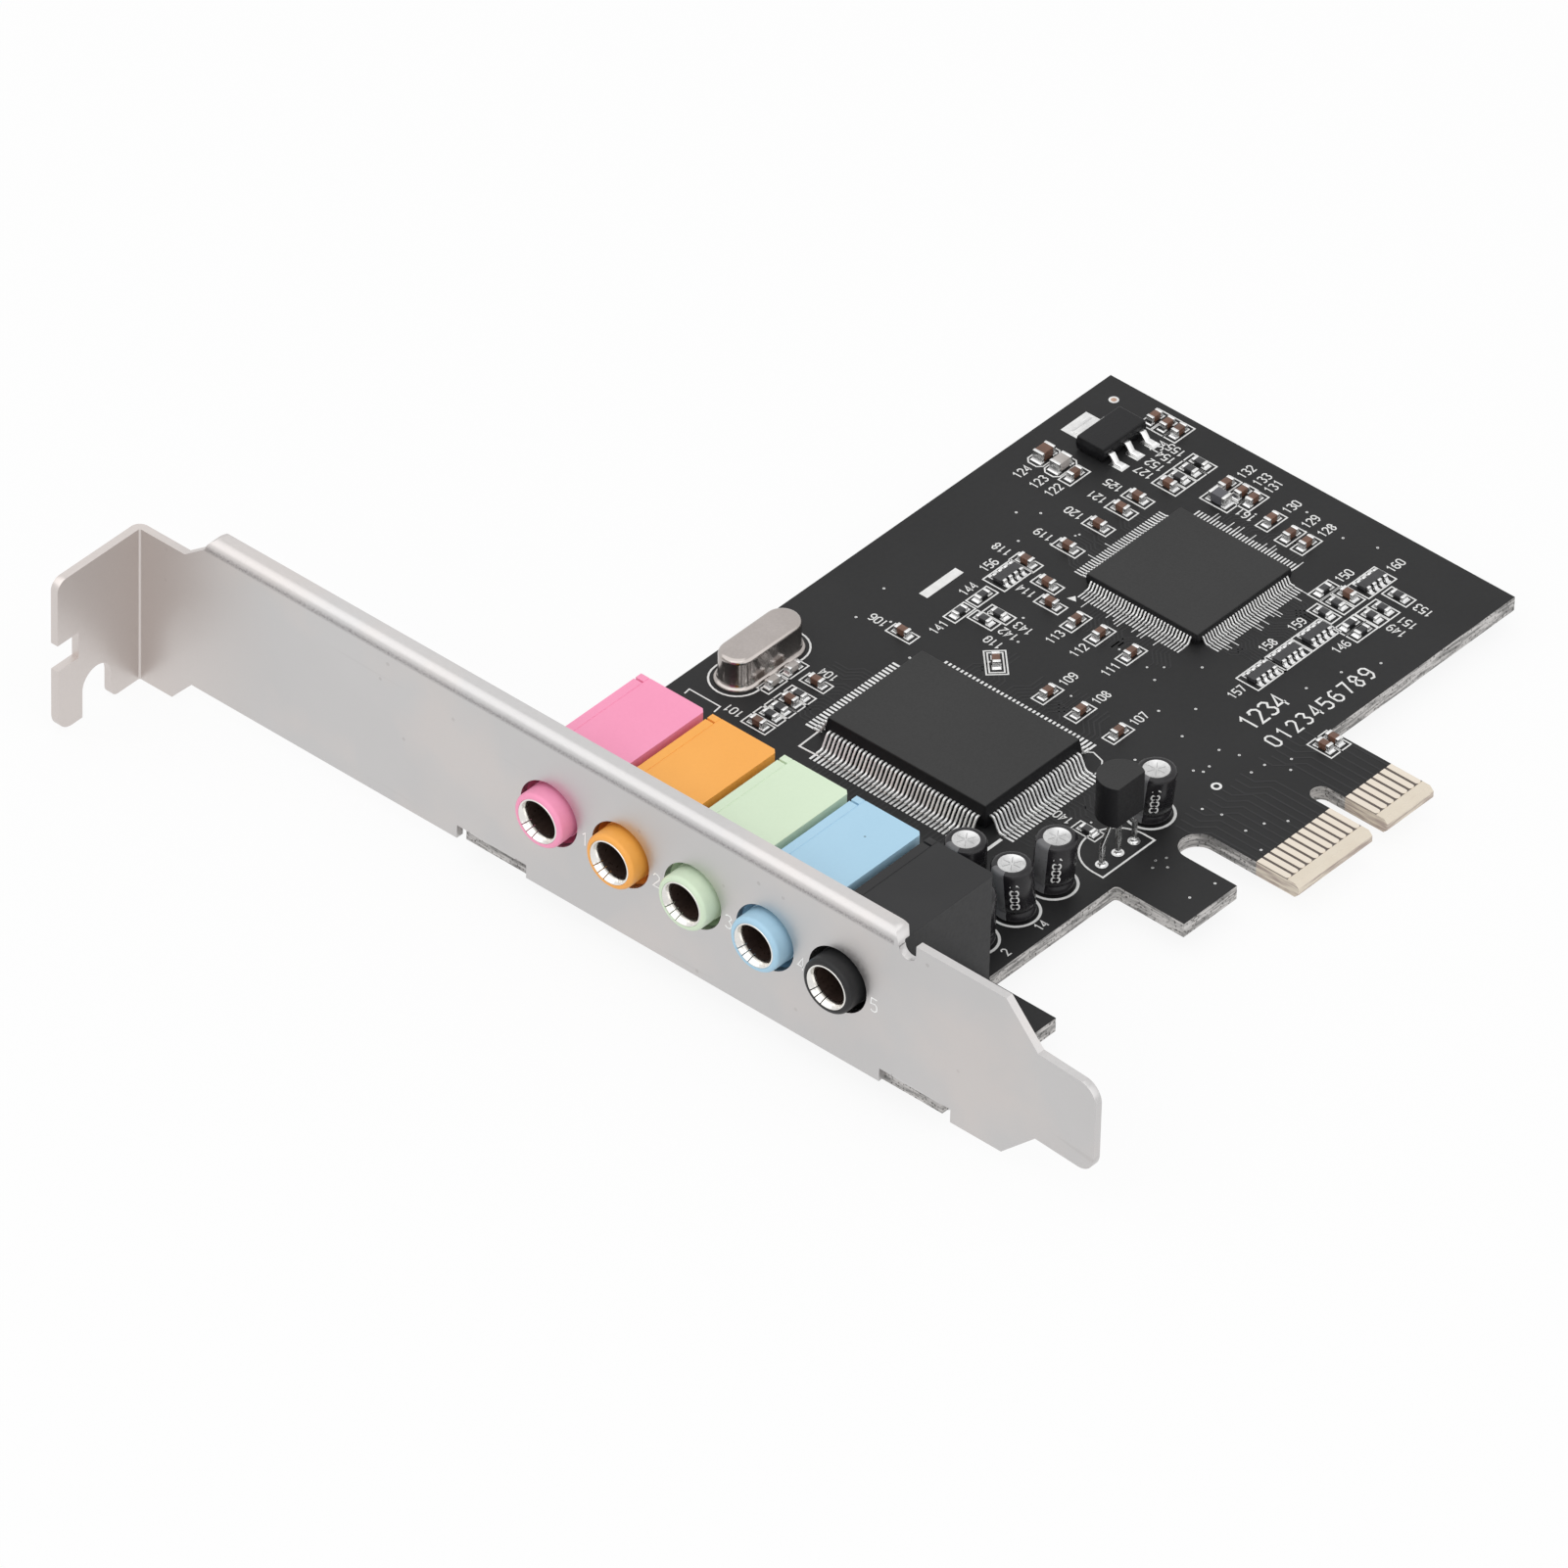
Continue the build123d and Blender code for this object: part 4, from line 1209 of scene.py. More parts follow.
@dataclass
class Screws:
    """Two screws with a domed head, a cross recess and a threaded shank."""

    x: float = 5.2
    places: Flat = (-38.05, 14.4)
    head_low: float = -3.35
    head_high: float = -1.6
    head_r: float = 2.75
    rim: float = 0.7
    dome_in: float = 1.25
    shank_r: float = 1.45
    shank_top: float = 1.76
    pitch: float = 0.6
    recess: float = 3.2
    recess_width: float = 0.75
    recess_depth: float = 0.95

    def build(self, bench: Bench) -> None:
        """Fit both screws as one piece.

        Args:
            bench: Bench that the pieces are fitted on.
        """
        draft = Draft()
        for place in self.places:
            centre = (self.x, place, 0.0)
            height = self.head_high - self.head_low
            dome = [(self.head_high, self.head_r), (self.head_high - self.rim, self.head_r)]
            for step in range(1, 7):
                turn = math.radians(14 * step)
                drop = (height - self.rim) * math.sin(turn)
                dome.append((self.head_high - self.rim - drop, self.head_r - self.dome_in * (1 - math.cos(turn))))
            draft.turn(centre, dome, 40)
            thread = [(self.head_high - 0.02, self.shank_r - 0.2)]
            level = self.head_high + 0.1
            while level < self.shank_top - 0.3:
                thread += [(level, self.shank_r - 0.22), (level + self.pitch / 2, self.shank_r)]
                level += self.pitch
            thread += [(self.shank_top - 0.15, self.shank_r - 0.1), (self.shank_top, self.shank_r - 0.35)]
            draft.turn(centre, thread, 28)
        screws = draft.finish("screws_threaded", (SCREW,))
        cutter = Draft()
        for place in self.places:
            long, wide = self.recess / 2, self.recess_width / 2
            cross = [(long, wide), (wide, wide), (wide, long), (-wide, long), (-wide, wide), (-long, wide)]
            cross += [(-x, -y) for x, y in cross]
            outline = [(self.x + x, place + y) for x, y in cross]
            cutter.prism(outline, self.head_low - 1, self.head_low + self.recess_depth)
        cut_with(screws, cutter.finish("recess_tool", (SCREW,)))
        bench.fit(screws, "screw_steel", "bracket_screws")


# The board


@dataclass
class Board:
    """Board with its faint copper under the mask, and the small plated holes."""

    edges: tuple[float, float, float, float] = (1.2, 94.53, -32.05, 18.61)
    holes: tuple[Flat, ...] = (
        (81.7, 7.0), (91.0, -9.1), (58.6, 3.3), (60.3, 0.4), (57.2, -1.6), (61.6, -14.9),
        (58.3, -18.2), (60.9, -20.6), (56.9, -22.3), (63.8, -24.6), (70.4, -26.3), (74.5, -27.2), (78.1, -29.1),
        (49.6, 12.2), (51.3, 9.3), (54.7, 13.1), (73.6, 9.6), (72.1, 11.4), (75.9, 8.2), (90.3, -14.2),
        (91.4, -17.6), (51.2, -21.3), (52.9, -24.2), (48.4, 4.4), (55.6, 0.9), (68.9, 8.4), (66.1, -17.0),
        (57.7, -26.2), (58.4, -28.1), (58.9, -30.8), (57.2, -30.6), (61.3, -32.1), (60.0, -33.1), (49.9, -30.7),
        (50.5, -32.6), (50.2, -35.8), (52.2, -36.4), (54.0, -37.8), (49.0, -38.7), (39.1, -38.3), (42.3, -38.7),
        (42.1, -32.9), (41.1, -32.4), (40.1, -32.9), (41.1, -33.9), (53.7, -26.4), (54.2, -27.2), (55.2, -27.1),
    )
    sight: Flat = (91.75, 15.85)
    tip_round: float = 0.4
    contact_count: int = 18
    before_key: int = 11
    key_width: int = 2
    first_contact: float = 47.77
    contact_heel: float = -39.6
    line_bend: float = -33.6
    jack_depth: float = 17.5
    seed: int = 11

    def build(self, bench: Bench, metal: Metalwork) -> None:
        """Dress the board and the contacts, and fit the copper lines and the holes.

        Args:
            bench: Bench that the pieces are fitted on.
            metal: Metalwork that the pads and the solder go into.
        """
        bench.dress("circuit_board", MASK)
        for side in ("component", "solder"):
            self.contacts(bench, f"contacts_{side}_side")
        lines = Draft()
        chance = random.Random(self.seed)
        for chip in (AUDIO, BRIDGE):
            for way, places in chip.pad_ends():
                self.fan(lines, metal, way, places, chip.pitch, chance)
        for step in range(self.contact_count):
            x = self.first_contact + (step if step < self.before_key else step + self.key_width)
            bend = self.line_bend + 0.25 * (step % 4)
            path = [(x, self.contact_heel), (x, bend), (x - 1.4, bend + 1.4), (x - 1.4, bend + 3.2)]
            lines.stroke(path, 0.2, -SUNK, LINE_RISE)
        bench.fit(lines.finish("copper_lines", (TRACE,)), "board_mask")
        for x, y in self.holes:
            metal.ring(x, y, 0.14, 0.055)
            metal.ring(x, y, 0.26, 0.1, Side.SOLDER)
        metal.ring(*self.sight, 0.52, 0.3)
        dot = Draft()
        dot.prism(arc(self.sight, 0.3, 0, 345, 23), -SUNK, metal.rise)
        bench.fit(dot.finish("sighting_dot", (COPPER,)), "contact_plating")

    def contacts(self, bench: Bench, node: str) -> None:
        """Fit one side's edge contacts, each with round corners at its tip.

        Args:
            bench: Bench that the pieces are fitted on.
            node: Name of the side's node.
        """
        draft = Draft()
        for block in blocks_of(bench.node(node)):
            tip, heel = block.y - block.length / 2, block.y + block.length / 2
            half, turn = block.width / 2, block.width * self.tip_round
            outline = arc((block.x - half + turn, tip + turn), turn, 180, 270, 5)
            outline += arc((block.x + half - turn, tip + turn), turn, 270, 360, 5)
            outline += [(block.x + half, heel), (block.x - half, heel)]
            draft.prism(outline, block.low, block.high)
        bench.fit(draft.finish(node + "_plated", (PLATING,)), bench.slots[node], node)

    def fan(
        self,
        lines: Draft,
        metal: Metalwork,
        way: Flat,
        places: list[Flat],
        pitch: float,
        chance: random.Random,
    ) -> None:
        """Lead copper lines away from one side of a chip in parallel groups.

        Args:
            lines: Draft that the lines go into.
            metal: Pads that the end holes go into.
            way: Way out from the chip.
            places: Outer ends of the side's pads, in order.
            pitch: Distance between the leads.
            chance: Seeded source of choices.
        """
        out = Vector(way)
        along = Vector((-out.y, out.x))
        number = 1
        while number < len(places) - 4:
            group = chance.randint(3, 6)
            turn = chance.choice((-1, 1))
            first, slope, last = chance.uniform(0.5, 1.2), chance.uniform(0.8, 2.2), chance.uniform(0.3, 2.4)
            for step, place in enumerate(places[number : number + group]):
                order = step if turn * (Vector(places[-1]) - Vector(places[0])).dot(along) < 0 else group - 1 - step
                one = Vector(place) + out * (first + order * pitch * 0.414)
                two = one + (out + along * turn) * slope * 0.7
                end = two + out * (last + chance.choice((0.0, 0.0, 0.6)))
                if self.holds(end):
                    lines.stroke([place, tuple(one), tuple(two), tuple(end)], 0.16, -SUNK, LINE_RISE)
                    if chance.random() < 0.2:
                        metal.ring(end.x, end.y, 0.12, 0.045)
            number += group + chance.randint(1, 3)

    def holds(self, place: Vector) -> bool:
        """Tell whether a place lies well inside the board."""
        low_x, high_x, low_y, high_y = self.edges
        return low_x + self.jack_depth < place.x < high_x - 1 and low_y + 1 < place.y < high_y - 1


# The jacks


@dataclass
class Jack:
    """One jack: rounded housing, bright turned sleeve and its springs."""

    colour: str
    row: float
    axis_z: float = 8.46
    mouth: float = -1.65
    barrel_r: float = 2.95
    sleeve_r: float = 2.4
    bore_r: float = 1.8
    sleeve_length: float = 7.0
    funnel_r: float = 2.18
    funnel_depth: float = 0.75
    slits: tuple[float, ...] = (285.0, 305.0, 325.0)
    slit_half: float = 1.5
    slit_depth: float = 0.9
    gap_r: float = 3.6
    gap_depth: float = 3.5
    top: float = 12.69
    seam_depth: float = 0.2
    seam_shown: float = 0.04
    steps: int = 72

    def build(self, bench: Bench) -> None:
        """Fit the jack.

        Args:
            bench: Bench that the pieces are fitted on.
        """
        housing = bench.rounded(
            "jack_housing_" + self.colour,
            JACK_COLOURS[self.colour],
            0.14,
            rim=self.on_rim,
            rim_width=0.42,
            reshape=self.fill_seam,
        )
        self.relieve(housing)
        bench.dress("jack_terminals_" + self.colour, SPRING)
        self.sleeve(bench)

    def on_rim(self, one: Vector, two: Vector) -> bool:
        """Tell whether an edge lies on the barrel's outer rim.

        Args:
            one: First end of the edge.
            two: Second end of the edge.

        Returns:
            True for an edge of the rim.
        """
        ends = (one, two)
        rim = all(abs(math.hypot(end.y - self.row, end.z - self.axis_z) - self.barrel_r) < 0.05 for end in ends)
        return rim and all(abs(end.x - self.mouth) < 0.05 for end in ends)

    def fill_seam(self, point: Vector) -> Vector:
        """Raise the floor of the lid's seam, which is nearly closed, to just under the top.

        Args:
            point: Point of the housing.

        Returns:
            The point's new place.
        """
        if abs(self.top - self.seam_depth - point.z) < 0.01:
            return Vector((point.x, point.y, self.top - self.seam_shown))
        return point

    def relieve(self, housing: Thing) -> None:
        """Cut the groove around the barrel's root, where the housing stands clear of the bracket's hole.

        Args:
            housing: Housing that is cut.
        """
        tool = Draft()
        ends = (0.5, BracketSheet().thickness + self.gap_depth)
        radii = (self.barrel_r + 0.05, self.gap_r)
        rings = []
        for number in range(self.steps):
            turn = 2 * math.pi * number / self.steps
            corners = ((ends[0], radii[0]), (ends[1], radii[0]), (ends[1], radii[1]), (ends[0], radii[1]))
            rings.append([(x, self.row + r * math.cos(turn), self.axis_z + r * math.sin(turn)) for x, r in corners])
        tool.loft(rings, closed=True)
        cut_with(housing, tool.finish("groove_tool", (BORE,)))

    def sleeve(self, bench: Bench) -> None:
        """Fit the sleeve: a tube with a bright funnel at its mouth and thin slits in it.

        Args:
            bench: Bench that the pieces are fitted on.
        """
        front, end = self.mouth, self.mouth + self.sleeve_length
        profile = (
            (front + 0.05, self.sleeve_r), (front, self.sleeve_r - 0.06), (front, self.funnel_r + 0.06),
            (front + 0.06, self.funnel_r), (front + self.funnel_depth, self.bore_r), (end, self.bore_r),
            (end, self.sleeve_r),
        )
        angles = [(360 * number / self.steps, front) for number in range(self.steps)]
        angles = [pair for pair in angles if all(abs(pair[0] - slit) > self.slit_half + 0.5 for slit in self.slits)]
        for slit in self.slits:
            for way in (-1, 1):
                angles.append((slit + way * self.slit_half, front))
                angles.append((slit + way * (self.slit_half - 0.1), front + self.slit_depth))
        rings = []
        for angle, start in sorted(angles):
            turn = math.radians(angle)
            rings.append([
                (max(x, start), self.row + r * math.cos(turn), self.axis_z + r * math.sin(turn)) for x, r in profile
            ])
        draft = Draft()
        draft.loft(rings, closed=True)
        inside = 4  # row of the profile between the funnel and the far end
        draft.marks = [int(number % len(profile) == inside) for number in range(len(draft.faces))]
        sleeve = draft.finish("jack_sleeve_turned_" + self.colour, (NICKEL, BORE))
        bench.fit(sleeve, "jack_metal", "jack_sleeve_" + self.colour)


# Packages with formed leads


@dataclass
class Chip:
    """Flat package with formed leads on all four sides, and its pads."""

    node: str
    x: float
    y: float
    body: Flat
    counts: tuple[int, int]
    pitch: float
    band: float
    reach: float
    foot: float
    thickness: float
    width: float
    shoulder: float
    pad_width: float
    pad_run: float = 1.0
    stub_share: float = 0.0
    seed: int = 5

    def sides(self) -> list[tuple[Flat, list[Flat]]]:
        """Give each side's way out and the roots of its leads.

        Returns:
            For each side, the way out and the places where its leads leave the body.
        """
        half_x, half_y = self.body[0] / 2, self.body[1] / 2
        found: list[tuple[Flat, list[Flat]]] = []
        for way in (-1, 1):
            spots = [(number - (self.counts[1] - 1) / 2) * self.pitch for number in range(self.counts[1])]
            found.append(((way, 0.0), [(self.x + way * half_x, self.y + spot) for spot in spots]))
            spots = [(number - (self.counts[0] - 1) / 2) * self.pitch for number in range(self.counts[0])]
            found.append(((0.0, way), [(self.x + spot, self.y + way * half_y) for spot in spots]))
        return found

    def pad_ends(self) -> list[tuple[Flat, list[Flat]]]:
        """Give each side's way out and the outer ends of its pads."""
        run = self.reach + self.pad_run
        return [((a, b), [(x + a * run, y + b * run) for x, y in roots]) for (a, b), roots in self.sides()]

    def build(self, bench: Bench, metal: Metalwork, ink: Print) -> None:
        """Fit the body, the leads and the pads.

        Args:
            bench: Bench that the pieces are fitted on.
            metal: Metalwork that the pads and the solder go into.
            ink: Print that keeps its numbers off the part.
        """
        bench.rounded(self.node + "_body", RESIN, 0.12, 2)
        draft = Draft()
        middle = [(-0.1, self.band), (self.shoulder + 0.05, self.band)]
        middle += [(self.reach - self.foot, self.thickness / 2), (self.reach, self.thickness / 2)]
        path = rounded_line(middle, 0.3 if self.shoulder else 0.2, 3)
        rings_flat = self.skin(path)
        chance = random.Random(self.seed)
        for (a, b), roots in self.sides():
            for x, y in roots:
                rings = []
                for top, bottom in rings_flat:
                    ring = []
                    for (u, v), side in ((top, -1), (top, 1), (bottom, 1), (bottom, -1)):
                        w = side * self.width / 2
                        ring.append((x + a * u - b * w, y + b * u + a * w, v))
                    rings.append(ring)
                draft.loft(rings)
                near = self.reach - self.foot - 0.1
                far = self.reach + self.pad_run
                runs = [(near, far, self.pad_width / 2)]
                if chance.random() < self.stub_share:
                    runs.append((far - 0.02, far + chance.uniform(0.5, 1.0), 0.05))
                for start, end, half in runs:
                    corners = ((start, -half), (end, -half), (end, half), (start, half))
                    metal.pad([(x + a * u - b * w, y + b * u + a * w) for u, w in corners])
        leads = draft.finish(self.node + "_leads_formed", (LEAD,), math.radians(50))
        bench.fit(leads, "lead_tin", self.node + "_leads")
        for u in range(-3, 4):
            for v in range(-3, 4):
                ink.claim(self.x + u * self.body[0] / 6, self.y + v * self.body[1] / 6, 3.0)

    def skin(self, path: Sequence[Flat]) -> list[tuple[Flat, Flat]]:
        """Give the upper and lower points of the lead along its middle line.

        Args:
            path: Middle line of the lead: distances from the body and heights.

        Returns:
            Pairs of an upper and a lower point.
        """
        pairs = []
        for number, point in enumerate(path):
            before, after = path[max(0, number - 1)], path[min(len(path) - 1, number + 1)]
            way = (Vector(after) - Vector(before)).normalized()
            normal = Vector((-way.y, way.x)) * self.thickness / 2
            here = Vector(point)
            pairs.append((tuple(here + normal), tuple(here - normal)))
        return pairs


AUDIO = Chip(
    node="audio_chip",
    x=40.47,
    y=-7.84,
    body=(14.0, 20.0),
    counts=(26, 38),
    pitch=0.5,
    band=1.6,
    reach=1.95,
    foot=0.8,
    thickness=0.16,
    width=0.22,
    shoulder=0.32,
    pad_width=0.26,
)
BRIDGE = Chip(
    node="bridge_chip",
    x=75.22,
    y=-7.59,
    body=(14.0, 14.0),
    counts=(32, 32),
    pitch=0.4,
    band=0.725,
    reach=1.0,
    foot=0.6,
    thickness=0.14,
    width=0.16,
    shoulder=0.0,
    pad_width=0.17,
    pad_run=1.0,
    stub_share=0.25,
)


@dataclass
class Regulator:
    """Regulator with three leads, a heat tab, their pads and their solder."""

    x: float = 86.62
    y: float = 11.86
    pitch: float = 2.3
    lead_end: float = 8.36
    lead_pads: Flat = (8.0, 9.7)
    tab_end: float = 15.36
    tab_pad: Flat = (14.0, 16.6)

    def box(self, x: float, half: float, span: Flat) -> list[Flat]:
        """Rectangle around x that spans a range of Y."""
        return [(x - half, span[0]), (x + half, span[0]), (x + half, span[1]), (x - half, span[1])]

    def build(self, bench: Bench, metal: Metalwork, ink: Print) -> None:
        """Fit the regulator.

        Args:
            bench: Bench that the pieces are fitted on.
            metal: Metalwork that the pads and the solder go into.
            ink: Print that keeps its numbers off the part.
        """
        bench.rounded("regulator_body", RESIN_DEEP, 0.12, 2)
        bench.rounded("regulator_leads", TIN, 0.06, 2)
        for step in (-1, 0, 1):
            x = self.x + step * self.pitch
            metal.pad(self.box(x, 0.6, self.lead_pads))
            toe = Block(x, self.lead_end + 0.3, -math.pi / 2, 0.6, 0.8, 0.0, 0.3)
            metal.wedge(toe, 1, 0.35, 0.24)
        metal.pad(self.box(self.x, 1.9, self.tab_pad))
        metal.wedge(Block(self.x, self.tab_end - 0.5, math.pi / 2, 1.0, 3.0, 0.0, 0.3), 1, 0.5, 0.24)
        for step in range(-2, 3):
            ink.claim(self.x + step * 1.4, self.y, 3.2)


# Parts on pins


@dataclass
class Crystal:
    """Drawn can with a rounded top on a rimmed base."""

    x: float = 38.22
    y: float = 14.46
    can: Flat = (10.2, 3.8)
    rim: Flat = (11.0, 4.6)
    rim_height: float = 0.45
    height: float = 3.5
    top_round: float = 0.5
    lead_spacing: float = 4.88

    def ring(self, size: Flat, inset: float, level: float) -> list[tuple[float, float, float]]:
        """One ring of the can at a level, drawn in by inset."""
        flat = stadium((self.x, self.y), size[0] - 2 * inset, size[1] - 2 * inset)
        return [(x, y, level) for x, y in flat]

    def build(self, bench: Bench, metal: Metalwork, ink: Print) -> None:
        """Fit the can, the base, the joints and the printed outline.

        Args:
            bench: Bench that the pieces are fitted on.
            metal: Metalwork that the pads and the solder go into.
            ink: Print that the outlines go into and that keeps its numbers off the part.
        """
        base = Draft()
        flange = [(0.0, 0.02), (0.0, 0.16), (0.06, 0.28), (0.2, 0.36)]
        flange += [(0.32, self.rim_height), (0.6, self.rim_height)]
        base.loft([self.ring(self.rim, inset, level) for inset, level in flange])
        bench.fit(base.finish("crystal_base_pressed", (CAN,)), "crystal_metal", "crystal_base")
        can = Draft()
        rings = [self.ring(self.can, -0.12, self.rim_height), self.ring(self.can, 0.0, self.rim_height + 0.22)]
        for step in range(7):
            turn = math.radians(15 * step)
            inset, rise = self.top_round * (1 - math.cos(turn)), self.top_round * math.sin(turn)
            rings.append(self.ring(self.can, inset, self.height - self.top_round + rise))
        can.loft(rings)
        bench.fit(can.finish("crystal_can_drawn", (CAN,)), "crystal_metal", "crystal_can")
        bench.dress("crystal_leads", TIN)
        for way in (-1, 1):
            x = self.x + way * self.lead_spacing / 2
            metal.ring(x, self.y, 0.85, 0.26, Side.SOLDER)
            metal.cone(x, self.y, 0.75, 0.3, 0.75, Side.SOLDER)
        ink.trace(stadium((self.x, self.y), 12.0, 5.4), closed=True, width=0.2)
        for step in range(-2, 3):
            ink.claim(self.x + step * 2.4, self.y, 3.0)


class CanSurface(Enum):
    """Surface of a capacitor's can, with the number of its material."""

    FILM = 0
    STRIPE = 1
    TOP = 2
    SCORE = 3
    NUMBER = 4


@dataclass
class Capacitors:
    """Electrolytic capacitors in black film, with a pale stripe and a bare top."""

    places: tuple[Flat, ...] = ((20.82, -27.34), (26.62, -27.44), (32.02, -27.44), (46.12, -27.44), (26.02, -21.74))
    radius: float = 2.04
    height: float = 5.75
    foot: float = 0.15
    print_r: float = 2.42
    print_width: float = 0.28
    # Rows of the profile: the film lies between the foot's and the top's.
    foot_row: int = 1
    top_row: int = 13
    stripe: Flat = (147.0, 196.0)
    lead_spacing: float = 1.5
    leans: tuple[Flat, ...] = ((0.0, 0.0), (-0.30, 0.35), (0.20, -0.23), (0.01, -0.60), (0.1, 0.1))
    mark_angle: float = 224.0
    mark_text: str = "1000"
    mark_tall: float = 0.38
    mark_top: float = 4.75
    mark_wide: float = 0.56

    def build(self, bench: Bench, metal: Metalwork, ink: Print) -> None:
        """Fit the five capacitors with their leads, pads and printed rings.

        Args:
            bench: Bench that the pieces are fitted on.
            metal: Metalwork that the pads and the solder go into.
            ink: Print that the outlines go into and that keeps its numbers off the part.
        """
        bench.dress("capacitor_leads", TIN)
        for number, place in enumerate(self.places, start=1):
            self.can(bench, number, place)
            for way in (-1, 1):
                x = place[0] + way * self.lead_spacing / 2
                metal.ring(x, place[1], 0.62, 0.26, Side.SOLDER)
                metal.cone(x, place[1], 0.55, 0.28, 0.72, Side.SOLDER)
            ink.trace(arc(place, self.print_r, 0, 350, 35), closed=True, width=self.print_width)
            ink.claim(*place, 2.7)

    def can(self, bench: Bench, number: int, place: Flat) -> None:
        """Fit one capacitor: rubber foot, grooved film with a number, lip and bare top with a scored cross.

        Args:
            bench: Bench that the piece is fitted on.
            number: Number of the capacitor, counted from 1.
            place: Middle of its foot on the board.
        """
        r, top = self.radius, self.height
        profile = [
            (self.foot, r - 0.5), (self.foot, r - 0.12), (0.25, r), (0.85, r), (1.0, r - 0.1),
            (1.15, r - 0.14), (1.3, r - 0.1), (1.45, r),
            (top - 0.42, r), (top - 0.2, r - 0.07), (top - 0.07, r - 0.22), (top, r - 0.42),
            (top - 0.01, r - 0.62), (top - 0.06, r - 0.7), (top - 0.1, r - 0.76), (top - 0.1, 0.02),
        ]
        draft = Draft()
        draft.turn((*place, 0.0), profile, 64, mark=self.surface)
        draft.marks[-1] = CanSurface.TOP.value
        for turn in (35.0, 95.0, 155.0):
            cos, sin = math.cos(math.radians(turn)), math.sin(math.radians(turn))
            for way in (-1, 1):
                start, end = (0.18 * way, 0.95 * way)
                groove = [(place[0] + share * cos, place[1] + share * sin) for share in (start, end)]
                before = len(draft.faces)
                # The scored lines get the darker metal, painted shade for their grooves.
                draft.stroke(groove, 0.09, top - 0.12, top - 0.09)
                draft.marks[before:] = [CanSurface.SCORE.value] * (len(draft.faces) - before)
        self.number_film(draft, place)
        lean = self.leans[number - 1]
        for point in draft.points:
            share = max(0.0, point.z - self.foot) / top
            point.x, point.y = point.x + lean[0] * share, point.y + lean[1] * share
        thing = draft.finish(f"capacitor_film_{number}", (FILM, STRIPE, ALUMINIUM, SCORE, INK))
        bench.fit(thing, "capacitor_film", f"capacitor_{number}")

    def surface(self, angle: float, row: int) -> int:
        """Tell which surface a face of the can belongs to.

        Args:
            angle: Angle of the face around the can, in degrees.
            row: Row of the profile that it belongs to.

        Returns:
            Material number of the face.
        """
        if row >= self.top_row:
            return CanSurface.TOP.value
        striped = row > self.foot_row and self.stripe[0] < angle < self.stripe[1]
        return CanSurface.STRIPE.value if striped else CanSurface.FILM.value

    def number_film(self, draft: Draft, place: Flat) -> None:
        """Print a plain number on the film, reading down the can.

        Args:
            draft: Draft of the can.
            place: Middle of its foot on the board.
        """
        tall, wide = self.mark_tall, self.mark_wide
        before, faces = len(draft.points), len(draft.faces)
        for step, digit in enumerate(self.mark_text):
            path = [((v - 1) * tall, (step * 1.42 + u) * wide) for u, v in Print.DIGITS[digit]]
            draft.stroke(path, 0.15, -0.02, 0.012)
        for point in draft.points[before:]:
            aside, up, rise = point
            turn = math.radians(self.mark_angle) + aside / self.radius
            reach = self.radius + rise
            point.xyz = (place[0] + reach * math.cos(turn), place[1] + reach * math.sin(turn), self.mark_top - up)
        draft.marks[faces:] = [CanSurface.NUMBER.value] * (len(draft.faces) - faces)


@dataclass
class Transistor:
    """Flat-faced transistor standing on three splayed leads."""

    x: float = 39.6
    y: float = -29.04
    splay: float = 2.35
    flat: float = 1.35
    print_r: float = 3.75

    def build(self, bench: Bench, metal: Metalwork, ink: Print) -> None:
        """Fit the body, the leads, the pads and the printed outline.

        Args:
            bench: Bench that the pieces are fitted on.
            metal: Metalwork that the pads and the solder go into.
            ink: Print that the outlines go into and that keeps its numbers off the part.
        """
        bench.rounded("transistor_body", RESIN, 0.09, 3)
        bench.rounded("transistor_leads", TIN, 0.1, 2)
        for way in (-1, 0, 1):
            x = self.x + way * self.splay
            metal.ring(x, self.y, 0.62, 0.3)
            metal.cone(x, self.y, 0.45, 0.27, 0.3, Side.COMPONENT)
            metal.ring(x, self.y, 0.7, 0.26, Side.SOLDER)
            metal.cone(x, self.y, 0.62, 0.28, 0.72, Side.SOLDER)
        low = self.y - self.flat
        round_side = arc((self.x, self.y - 0.1), self.print_r, 180, 0, 22)
        outline = [(self.x - self.print_r, low), *round_side, (self.x + self.print_r, low)]
        ink.trace(outline, closed=True, width=0.2)
        for step in (-1, 0, 1):
            ink.claim(self.x + step * 2.4, self.y, 2.6)


@dataclass
class JackPins:
    """Solder around the jacks' pins on the solder side."""

    rows: tuple[float, ...] = (7.35, -1.58, -10.51, -19.44, -28.37)
    offsets: tuple[Flat, ...] = ((3.4, 0.0), (9.4, 2.9), (14.2, -2.9))
    pin_r: float = 0.5

    def build(self, metal: Metalwork) -> None:
        """Add a pad and a joint for each pin.

        Args:
            metal: Metalwork that the pads and the solder go into.
        """
        for row in self.rows:
            for x, shift in self.offsets:
                metal.ring(x, row + shift, 1.0, self.pin_r, Side.SOLDER)
                metal.cone(x, row + shift, 0.92, self.pin_r, 0.7, Side.SOLDER)


# Small parts soldered flat


@dataclass
class SmallKind:
    """One kind of small part: its nodes, finish and printed frame."""

    stem: str
    body: str
    finish: Finish
    frame_cut: float = 0.0
    many_ends: bool = False
    pale: tuple[Flat, ...] = ()


